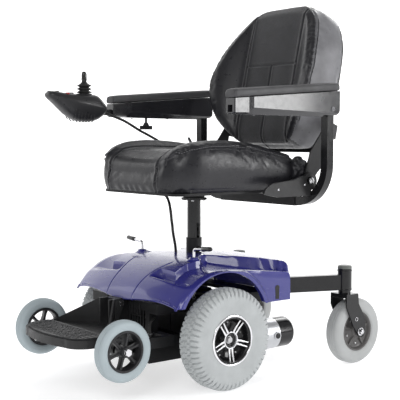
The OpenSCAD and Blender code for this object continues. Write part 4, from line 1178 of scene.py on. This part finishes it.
def arm_pad(side, s):
    """Foam pad: boxy sides, crowned top, rounded front and rear."""
    rings = []
    ends = ((0, 0.86, 0.7), (1.2, 0.93, 0.85), (4, 0.975, 0.95), (9, 1, 0.99), (18, 1, 1))
    places = [(t, kw, kv) for t, kw, kv in ends] + [(t, 1, 1) for t in (90, 180, 270, 350)]
    places += [(425 - t, kw, kv) for t, kw, kv in reversed(ends)]
    for t, kw, kv in places:
        y = -119.5 + t
        base = under_pad(y) + 0.2
        ring = [(-25, 0), (-25, 6), (-24.8, 19), (-22.5, 24.5), (-16, 26.6), (0, 27), (16, 26.6),
                (22.5, 24.5), (24.8, 19), (25, 6), (25, 0)]
        rings.append([(s * ARM_X + u * kw, y, base + v * kv) for u, v in ring])
    o = piece(f"arm_pad_{side}_foam", *loft(rings), "pad", None)
    subdivided(o, 1)
    apply_modifiers(o)
    swell(o, 0.0035, 1.5, 0.6, 8)
    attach(o, f"armrest_{side}")
    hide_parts(f"arm_pad_{side}")


for side, s in SIDES:
    arm_housing(side, s)
    arm_pad(side, s)


# ---------------------------------------------------------------- joystick
STICK = (-290.0, -232.0)


def joystick_shell():
    """Slim nose that swells to a deep belly, with a crease along each side."""
    rings = []
    sections = ((-370, 878, 870, 874, 12), (-368, 882, 866, 874, 19), (-360, 887, 859, 873, 26),
                (-345, 886.5, 848, 869, 31), (-325, 883.5, 830, 863, 35), (-302, 881, 809, 857, 38.5),
                (-276, 879.3, 793, 851, 42.5), (-245, 879.2, 788, 846, 44), (-215, 879, 788.5, 842, 44),
                (-198, 878.5, 792, 838, 43.5), (-186, 872, 798, 836, 42.5), (-172, 855, 809, 834, 40),
                (-162, 842, 822, 833, 35))
    for y, top, low, edge, w in sections:
        rise, drop = top - edge, edge - low
        half = [(0, top), (0.4 * w, top - 0.02 * rise), (0.7 * w, top - 0.14 * rise),
                (0.9 * w, top - 0.5 * rise), (w, edge + 1.2), (w, edge - 1.2), (0.93 * w, edge - 0.32 * drop),
                (0.8 * w, edge - 0.68 * drop), (0.55 * w, low + 0.07 * drop), (0, low)]
        rings.append([(STICK[0] + x, y, z) for x, z in half]
                     + [(STICK[0] - x, y, z) for x, z in half[-2:0:-1]])
    o = piece("joystick_shell", *loft(rings), "joystick", None)
    subdivided(o, 2)
    apply_modifiers(o)
    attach(o, "armrest_right")
    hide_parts("joystick_box")
    fins = []
    for i in range(7):
        y = -284 + i * 11.5
        low, w = float(np.interp(y, (-302, -276, -245, -215), (809, 793, 788, 788.5))), 42.0
        for s in (1, -1):
            pts = [(STICK[0] + s * (w * 0.88 - 1), y, low + 32), (STICK[0] + s * (w * 0.82), y, low + 20),
                   (STICK[0] + s * (w * 0.62), y, low + 5), (STICK[0] + s * (w * 0.36), y, low + 0.5)]
            fins.append(tube(smooth_path(pts, 3), 1.5, 8))
    fins.append(lathe_z([(0, 876), (26, 876), (26, 879.6), (24.5, 880.9), (20, 881), (0, 881)], *STICK, 48))
    fins.append(brick((STICK[0] - 15, -343, 883), (STICK[0] + 15, -333, 886.6)))
    fins.append(lathe_z([(0, 868), (9, 868), (9, 885.5), (8, 886.4), (0, 886.4)], STICK[0], -358, 24))
    piece("joystick_ribs", *merged(fins), "joystick", "armrest_right", slot="joystick_plastic")
    lamps = [brick((STICK[0] - 12 + i * 5.2, -340.6, 886.2), (STICK[0] - 9 + i * 5.2, -335.4, 887))
             for i in range(5)]
    piece("battery_gauge", *merged(lamps), "amber", "armrest_right", slot="joystick_plastic", smooth=False)
    relief = [(3.9 + 2.4 * k / 8 + (0.55 if k % 2 else 0), k) for k in range(9)]
    rings = []
    for r, k in relief:
        y = -150 - 2.4 * k
        rings.append([(-278 + r * math.cos(a), y, 817 + 0.4 * k + r * math.sin(a))
                      for a in (2 * math.pi * j / 20 for j in range(20))])
    piece("cable_relief", *loft(rings), "rubber", "armrest_right", slot="joystick_plastic")


def bellows(folds, radius, neck, z0, pitch):
    """Profile of rubber folds from the bottom up."""
    out = []
    for i in range(folds):
        z = z0 + i * pitch
        out += [(neck, z), (radius - i * 0.8 - 1, z + pitch * 0.22), (radius - i * 0.8, z + pitch * 0.34),
                (radius - i * 0.8 - 1, z + pitch * 0.46), (neck, z + pitch * 0.8)]
    return out


def joystick_gaiter():
    low = [(0, 880)] + bellows(2, 25, 16, 882, 10.5) + [(15.5, 902.5), (0, 902.5)]
    o = piece("gaiter_lower", *lathe_z(low, *STICK, 48), "rubber", None)
    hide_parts("joystick_gaiter")
    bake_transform(o)
    high = [(0, 902.5), (15.5, 902.5), (22.2, 905.4), (23.2, 906.8), (22.2, 908.4), (13.5, 913), (8.6, 918),
            (7.2, 922), (0, 922)]
    o = piece("gaiter_upper", *lathe_z(high, *STICK, 48), "rubber", None)
    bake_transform(o)


def joystick_knob():
    profile = [(0, 858), (3.9, 858), (3.9, 914), (6.8, 917), (8, 922), (8.7, 928), (8.6, 935), (8.7, 941),
               (8.2, 946), (6.8, 950), (4.6, 952.2), (2.2, 952.9), (0, 953)]
    piece("stick_knob", *lathe_z(profile, *STICK, 40), "grip", "stick", replaces=("joystick_stick",),
          slot="joystick_plastic")
    ribs = []
    for i in range(10):
        a = 2 * math.pi * i / 10
        x, y = STICK[0] + 8.5 * math.cos(a), STICK[1] + 8.5 * math.sin(a)
        ribs.append(tube([(x, y, z) for z in (924, 928, 933)], 0.5, 6))
    piece("stick_ribs", *merged(ribs), "grip", "stick", slot="joystick_plastic")


joystick_shell()
joystick_gaiter()
joystick_knob()
dial = []
for i in range(24):
    a = 2 * math.pi * i / 24
    x, y = STICK[0] + 10.4 * math.cos(a), -284 + 10.4 * math.sin(a)
    dial.append(tube([(x, y, z) for z in (880, 883.2)], 0.7, 6))
dial.append(brick((STICK[0] - 0.8, -284 + 3, 883.4), (STICK[0] + 0.8, -284 + 9.5, 884)))
piece("dial_knurl", *merged(dial), "grey", "speed_dial", slot="grey_button")


# ---------------------------------------------------------------- control cable
CABLE_LOW = [(-42, -46, 371), (-42, -48, 392), (-40, -54, 414), (-38, -60, 436), (-37, -64, 461.7)]
CABLE_HIGH = [
    (-37, -64, 462), (-37, -67, 480), (-37, -69, 498), (-40, -70, 516), (-48, -68, 532),
    (-64, -62, 544), (-86, -52, 550), (-112, -40, 553), (-140, -26, 555), (-168, -12, 557),
    (-194, 4, 560), (-216, 22, 566), (-234, 40, 575), (-246, 58, 586), (-255, 76, 600),
    (-261, 90, 618), (-264, 98, 640), (-266, 98, 664), (-267, 92, 686), (-268, 80, 706),
    (-269, 60, 721), (-270, 35, 734), (-270, 5, 748), (-270, -27, 762), (-272, -58, 779),
    (-273, -88, 794), (-275, -115, 804), (-277, -134, 811), (-278, -150, 817)]
CABLE_R = 4.4


def cable_run(name, points, replaces=()):
    line = smooth_path(points, 6)
    o = piece(name, *tube(line, CABLE_R, 14), "cable", None, replaces, "cable_jacket")
    length = sum((b - a).length for a, b in zip(line, line[1:])) * MM
    return o, [tuple(p * MM) for p in line], length


def control_cable():
    """Four runs: shroud to post level, post level to seat, along the seat, up to the joystick."""
    o, line, length = cable_run("cable_post_run", CABLE_LOW, ("control_cable_lower",))
    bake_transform(o)
    o, line, length = cable_run("cable_rise", CABLE_HIGH[:6])
    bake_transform(o)
    o, line, length = cable_run("cable_seat_run", CABLE_HIGH[5:20], ("control_cable_upper",))
    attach(o, "seat")
    o, line, length = cable_run("cable_arm_run", CABLE_HIGH[19:])
    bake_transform(o)


control_cable()


# ---------------------------------------------------------------- soft edges on the plain metal parts
for name, width in (("base_frame", 1.2), ("front_arms", 1.2), ("rear_arms", 1.5), ("arm_posts", 2.0),
                    ("backrest_frame", 1.0), ("hinge_covers", 1.6), ("armrest_receiver", 1.2),
                    ("footplate", 2.0), ("seat_pan", 0.8), ("gearboxes", 2.0), ("batteries", 3.0),
                    ("rear_panel", 1.5),
                    ("thumb_screw", 1.0), ("swivel_lever", 1.0), ("joystick_bracket", 0.8)):
    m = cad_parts[name].modifiers.new("Bevel", "BEVEL")
    m.width, m.segments, m.limit_method = width * MM, 2, "ANGLE"
    m.angle_limit = math.radians(40)


# ---------------------------------------------------------------- hinge boots
def hinge_boot(side, s):
    """Crumpled vinyl pouch from the seat's rear corner down to the hinge bolt."""
    stations = ((206, 612, 676, 206, 238), (222, 606, 681, 212, 243), (238, 606, 682, 216, 244.2),
                (252, 618, 675, 218, 244), (266, 628, 663, 220, 243.5), (276, 636, 654, 224, 242),
                (280, 641, 649, 228, 238))
    rings = []
    for y, z0, z1, x0, x1 in stations:
        cx, cz, rx, rz = (x0 + x1) / 2, (z0 + z1) / 2, (x1 - x0) / 2, (z1 - z0) / 2
        ring = []
        for k in range(20):
            a = 2 * math.pi * k / 20
            ca, sa = math.cos(a), math.sin(a)
            dx, dz = rx * math.copysign(abs(ca) ** 0.7, ca), rz * math.copysign(abs(sa) ** 0.7, sa)
            ring.append((s * (cx + dx), y, cz + dz))
        rings.append(ring)
    o = piece(f"hinge_boot_{side}", *loft(rings), "vinyl", None)
    subdivided(o, 3)
    apply_modifiers(o)
    p, n = coords(o), normals(o)
    y, z = p[:, 1], p[:, 2]
    folds = 2.4 * np.sin((0.75 * y + 0.6 * z) / 4.6 + 1.5 * np.sin(z / 13))
    folds = folds + 1.5 * np.sin((y - 1.3 * z) / 6.1 + 0.7)
    folds = np.minimum(folds, 1.2) * (np.abs(n[:, 1]) < 0.95)
    q = p - n * (1.2 - folds)[:, None]
    q[:, 0] = np.where(np.abs(q[:, 0]) > 244.4, np.sign(q[:, 0]) * 244.4, q[:, 0])
    low = (q[:, 2] < 626) & (np.abs(q[:, 0]) > 239)
    q[:, 0] = np.where(low, np.sign(q[:, 0]) * 239, q[:, 0])
    set_coords(o, q)
    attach(o, "seat")
    return o


for side, s in SIDES:
    hinge_boot(side, s)


# ---------------------------------------------------------------- hinges and bolts
def hex_bolt(x, y, z, s, r=6, h=4):
    """Washer and hexagon head facing out along X."""
    washer = lathe_x([(0, 0), (r * 1.5, 0), (r * 1.5, 1.2), (0, 1.2)], x, y, z, s, 28, False)
    head = prism([(r * math.cos(a), r * math.sin(a)) for a in (math.pi * k / 3 for k in range(6))],
                 lambda u, v, k: (x + s * (1.2 + k * h), y + u, z + v))
    return [washer, head]


for side, s in SIDES:
    bolts = hex_bolt(s * 268, 254, 604, s, 6.5, 3)
    bolts += hex_bolt(s * 259.2, 232, 592, s, 2.4, 1.6) + hex_bolt(s * 259.2, 120, 580, s, 2.4, 1.6)
    piece(f"hinge_bolts_{side}", *merged(bolts), "chrome", "seat", slot="plated_steel")
    rim = []
    edge = [(s * 259, 62, 567), (s * 259, 70, 583), (s * 259, 86, 593), (s * 259, 104, 599),
            (s * 259, 188, 608), (s * 259, 209, 616)]
    edge += [(s * 259, 256 + 27 * math.cos(t), 602 + 27 * math.sin(t))
             for t in (math.radians(140 - 11 * k) for k in range(15))]
    rim.append(tube(smooth_path(edge, 3), 1.3, 8))
    piece(f"cover_rim_{side}", *merged(rim), "plastic", "seat", slot="black_plastic")


# ---------------------------------------------------------------- footplate
def foot_edge(x, t=0.0):
    return -557 + t + x * x / 784


def footplate_trim():
    """Moulded edge bands and the raised bars of the mat."""
    bands = []
    for z, r in ((157.5, 1.6), (177.5, 1.3)):
        pts = [(x, foot_edge(x, 1.2), z) for x in np.linspace(-100, 100, 21)]
        left = [(-105 - 58.8 * math.sin(a), foot_edge(105) + 61.2 - 60 * math.cos(a), z)
                for a in (math.radians(t) for t in (90, 70, 50, 30, 15))]
        right = [(-x, y, zz) for x, y, zz in reversed(left)]
        pts = [(left[0][0], -446, z)] + left + pts + right + [(right[-1][0], -446, z)]
        bands.append(tube(smooth_path(pts, 2), r, 8))
    piece("footplate_bands", *merged(bands), "plastic", "footrest", slot="black_plastic")
    bars = []
    for row, y in enumerate(range(-532, -442, 9)):
        reach = 150 if y > -500 else 150 - (-500 - y) * 1.1
        x = -reach + (10 if row % 2 else 0)
        while x + 22 < reach:
            bars.append(brick((x, y, 183.4), (x + 26, y + 4.2, 185.6)))
            x += 34
    o = piece("mat_bars", *merged(bars), "mat", "footrest", slot="foot_mat_rubber", smooth=False)
    bevelled(o, 0.7, 1)


footplate_trim()


# ---------------------------------------------------------------- front of the base
def front_panel():
    """Vent slots, ribs and wiring between the shroud and the footplate."""
    ribs = []
    for i in range(7):
        x = 34 + i * 9
        for s in (1, -1):
            ribs.append(brick((s * x - 1.8, -277.8, 216), (s * x + 1.8, -274.5, 250)))
    ribs.append(brick((28, -277.2, 252), (96, -274.5, 256)))
    ribs.append(brick((-96, -277.2, 252), (-28, -274.5, 256)))
    ribs.append(brick((28, -277.2, 210), (96, -274.5, 214)))
    ribs.append(brick((-96, -277.2, 210), (-28, -274.5, 214)))
    ribs.append(brick((-120, -277, 120), (120, -274.5, 126)))
    ribs.append(brick((-120, -277, 168), (120, -274.5, 174)))
    o = piece("front_vents", *merged(ribs), "inside", "base", slot="frame_black", smooth=False)
    bevelled(o, 0.8, 2)
    wires = []
    for s in (1, -1):
        for k, dx in enumerate((0, 7)):
            pts = [(s * (140 + dx), -262, 214), (s * (150 + dx), -286, 196 + 3 * k),
                   (s * (160 + dx), -292, 170), (s * (158 + dx), -284, 146), (s * (150 + dx), -258, 128)]
            wires.append(tube(smooth_path(pts, 6), 2.2, 10))
    piece("motor_leads", *merged(wires), "cable", "base", slot="cable_jacket")
    ties = []
    for s in (1, -1):
        ties.append(tube([(s * 163 + 9 * math.cos(t), -292 + 5 * math.sin(t), 172) for t in
                          (2 * math.pi * k / 16 for k in range(16))], 0.9, 6, closed=True))
    piece("wire_ties", *merged(ties), "thread", "base", slot="cable_jacket")


front_panel()


# ---------------------------------------------------------------- motors, barrels, forks
def motor_details(side, s):
    x = s * 183
    caps = []
    for sx in (1, -1):
        caps += [tube([(x + sx * 44, 84, 121), (x + sx * 51.5, 84, 121)], [9, 8.4], 20),
                 tube([(x + sx * 50, 84, 121), (x + sx * 52.4, 84, 121)], [4.5, 4.2], 14)]
    piece(f"brush_caps_{side}", *merged(caps), "black_gloss", "base", slot="motor_cap")
    barrel = lathe_z([(23.1, 246), (24.3, 247), (24.3, 249), (23.1, 250)], s * 264.5, 410, 48)
    upper = lathe_z([(23.1, 306), (24.3, 307), (24.3, 309), (23.1, 310)], s * 264.5, 410, 48)
    piece(f"barrel_rings_{side}", *merged([barrel, upper]), "black_gloss", "base", slot="frame_black")


for side, s in SIDES:
    motor_details(side, s)


def fork_details(side, s):
    """Axle nuts, washers and the bridge bolt on each caster fork."""
    parts = []
    for d in (1, -1):
        parts += hex_bolt(s * 264.5 + d * 36.1, 450, 107, d, 9, 6)
        collar = [(4.9, -0.2), (6.4, -0.2), (6.4, 0.8), (4.9, 0.8)]
        parts.append(lathe_x(collar, s * 264.5 + d * 36, 430, 150, d, 24))
    piece(f"caster_nuts_{side}", *merged(parts), "chrome", f"caster_{side}", slot="plated_steel")


for side, s in SIDES:
    fork_details(side, s)


def lever_grips(side, s):
    """Dipped black grip over the end of each freewheel lever."""
    a = math.radians(85)
    d = Vector((math.sin(a) * s, 0, math.cos(a)))
    base = Vector((s * 147, -111, 404))
    pts = [tuple(base + d * t) for t in (30, 33, 44, 56, 68, 73, 75)]
    piece(f"lever_grip_{side}", *tube(pts, [4.6, 6.6, 7, 6.8, 7, 5.6, 2.6], 16), "grip", f"freewheel_{side}",
          slot="grip_black")


for side, s in SIDES:
    lever_grips(side, s)


# ---------------------------------------------------------------- seat post
def post_details():
    """Dark bushes in the height holes, the pin's wire ring and bolt heads on the flange."""
    bushes = []
    for i in range(-1, 4):
        z = 387 + 25 * i
        if z > 421:
            for s in (1, -1):
                bushes.append(lathe_x([(5.2, -1), (7.2, -1), (7.2, 0.7), (5.2, 0.7)], s * 21.3, -5, z, s, 24))
    piece("post_hole_rims", *merged(bushes), "black_gloss", "post", slot="post_steel")
    ring = [(38 + 11 * math.cos(t), -5 + 9 * math.sin(t), 387 - 6 * math.sin(t) - 4)
            for t in (2 * math.pi * k / 28 for k in range(28))]
    piece("pin_ring", *tube(ring, 1.1, 8, closed=True), "chrome", "post_pin", slot="plated_steel")
    flange = []
    for k in range(4):
        t = math.pi / 4 + k * math.pi / 2
        head = [(0, 541), (4.6, 541), (4.6, 538.6), (0, 538.6)]
        flange.append(lathe_z(head, 32 * math.cos(t), -5 + 32 * math.sin(t), 6))
    piece("flange_bolts", *merged(flange), "chrome", "post", slot="plated_steel", smooth=False)


post_details()


# ---------------------------------------------------------------- stage, lights, camera
def stage():
    v = [(-14, -12, 0), (14, -12, 0), (14, 14, 0), (-14, 14, 0)]
    me = bpy.data.meshes.new("floor")
    me.from_pydata([Vector(p) + Vector((0, 0, -0.0005)) for p in v], [], [(0, 1, 2, 3)])
    o = bpy.data.objects.new("floor", me)
    bpy.context.scene.collection.objects.link(o)
    m, _, b = new_material("pale_floor", (0.62, 0.62, 0.63), 0.7)
    b.inputs["Emission Color"].default_value = (1, 1, 1, 1)
    b.inputs["Emission Strength"].default_value = 0.62
    me.materials.append(m)
    far = [(-16, -9, -2), (3, 15, -2), (3, 15, 12), (-16, -9, 12)]
    me = bpy.data.meshes.new("backdrop")
    me.from_pydata(far, [], [(0, 1, 2, 3)])
    wall = bpy.data.objects.new("backdrop", me)
    bpy.context.scene.collection.objects.link(wall)
    m, _, b = new_material("white_backdrop", (0.8, 0.8, 0.8), 0.8)
    b.inputs["Emission Color"].default_value = (1, 1, 1, 1)
    b.inputs["Emission Strength"].default_value = 0.9
    me.materials.append(m)
    w = bpy.data.worlds.new("studio")
    bpy.context.scene.world = w
    w.use_nodes = True
    back = w.node_tree.nodes["Background"]
    back.inputs["Color"].default_value = (1, 1, 1, 1)
    back.inputs["Strength"].default_value = 0.38


def light(name, place, target, size, watts, shape="RECTANGLE", size_y=None):
    d = bpy.data.lights.new(name, "AREA")
    d.shape = shape
    d.size = size
    if size_y:
        d.size_y = size_y
    d.energy = watts
    o = bpy.data.objects.new(name, d)
    bpy.context.scene.collection.objects.link(o)
    o.location = place
    o.rotation_euler = (Vector(target) - Vector(place)).to_track_quat("-Z", "Y").to_euler()


stage()
light("key", (2.6, -3.0, 2.9), (0, 0, 0.6), 1.6, 60, size_y=2.2)
light("side", (3.0, 2.2, 1.6), (0, 0, 0.7), 0.9, 60, size_y=2.0)
light("fill", (-2.8, -2.6, 1.8), (0, 0, 0.6), 2.2, 16, size_y=2.0)
light("rim", (-1.2, 3.2, 2.6), (0, 0, 0.7), 1.6, 30, size_y=1.0)

cam_data = bpy.data.cameras.new("camera")
cam_data.sensor_width = 36
cam_data.lens = 965.5 * 36 / 400
camera = bpy.data.objects.new("camera", cam_data)
bpy.context.scene.collection.objects.link(camera)
camera.location = (2.4278, -1.8842, 0.7433)
camera.rotation_euler = (math.radians(90 - 3.785), 0, math.radians(51.9))
bpy.context.scene.camera = camera
bpy.context.scene.view_settings.view_transform = "Standard"
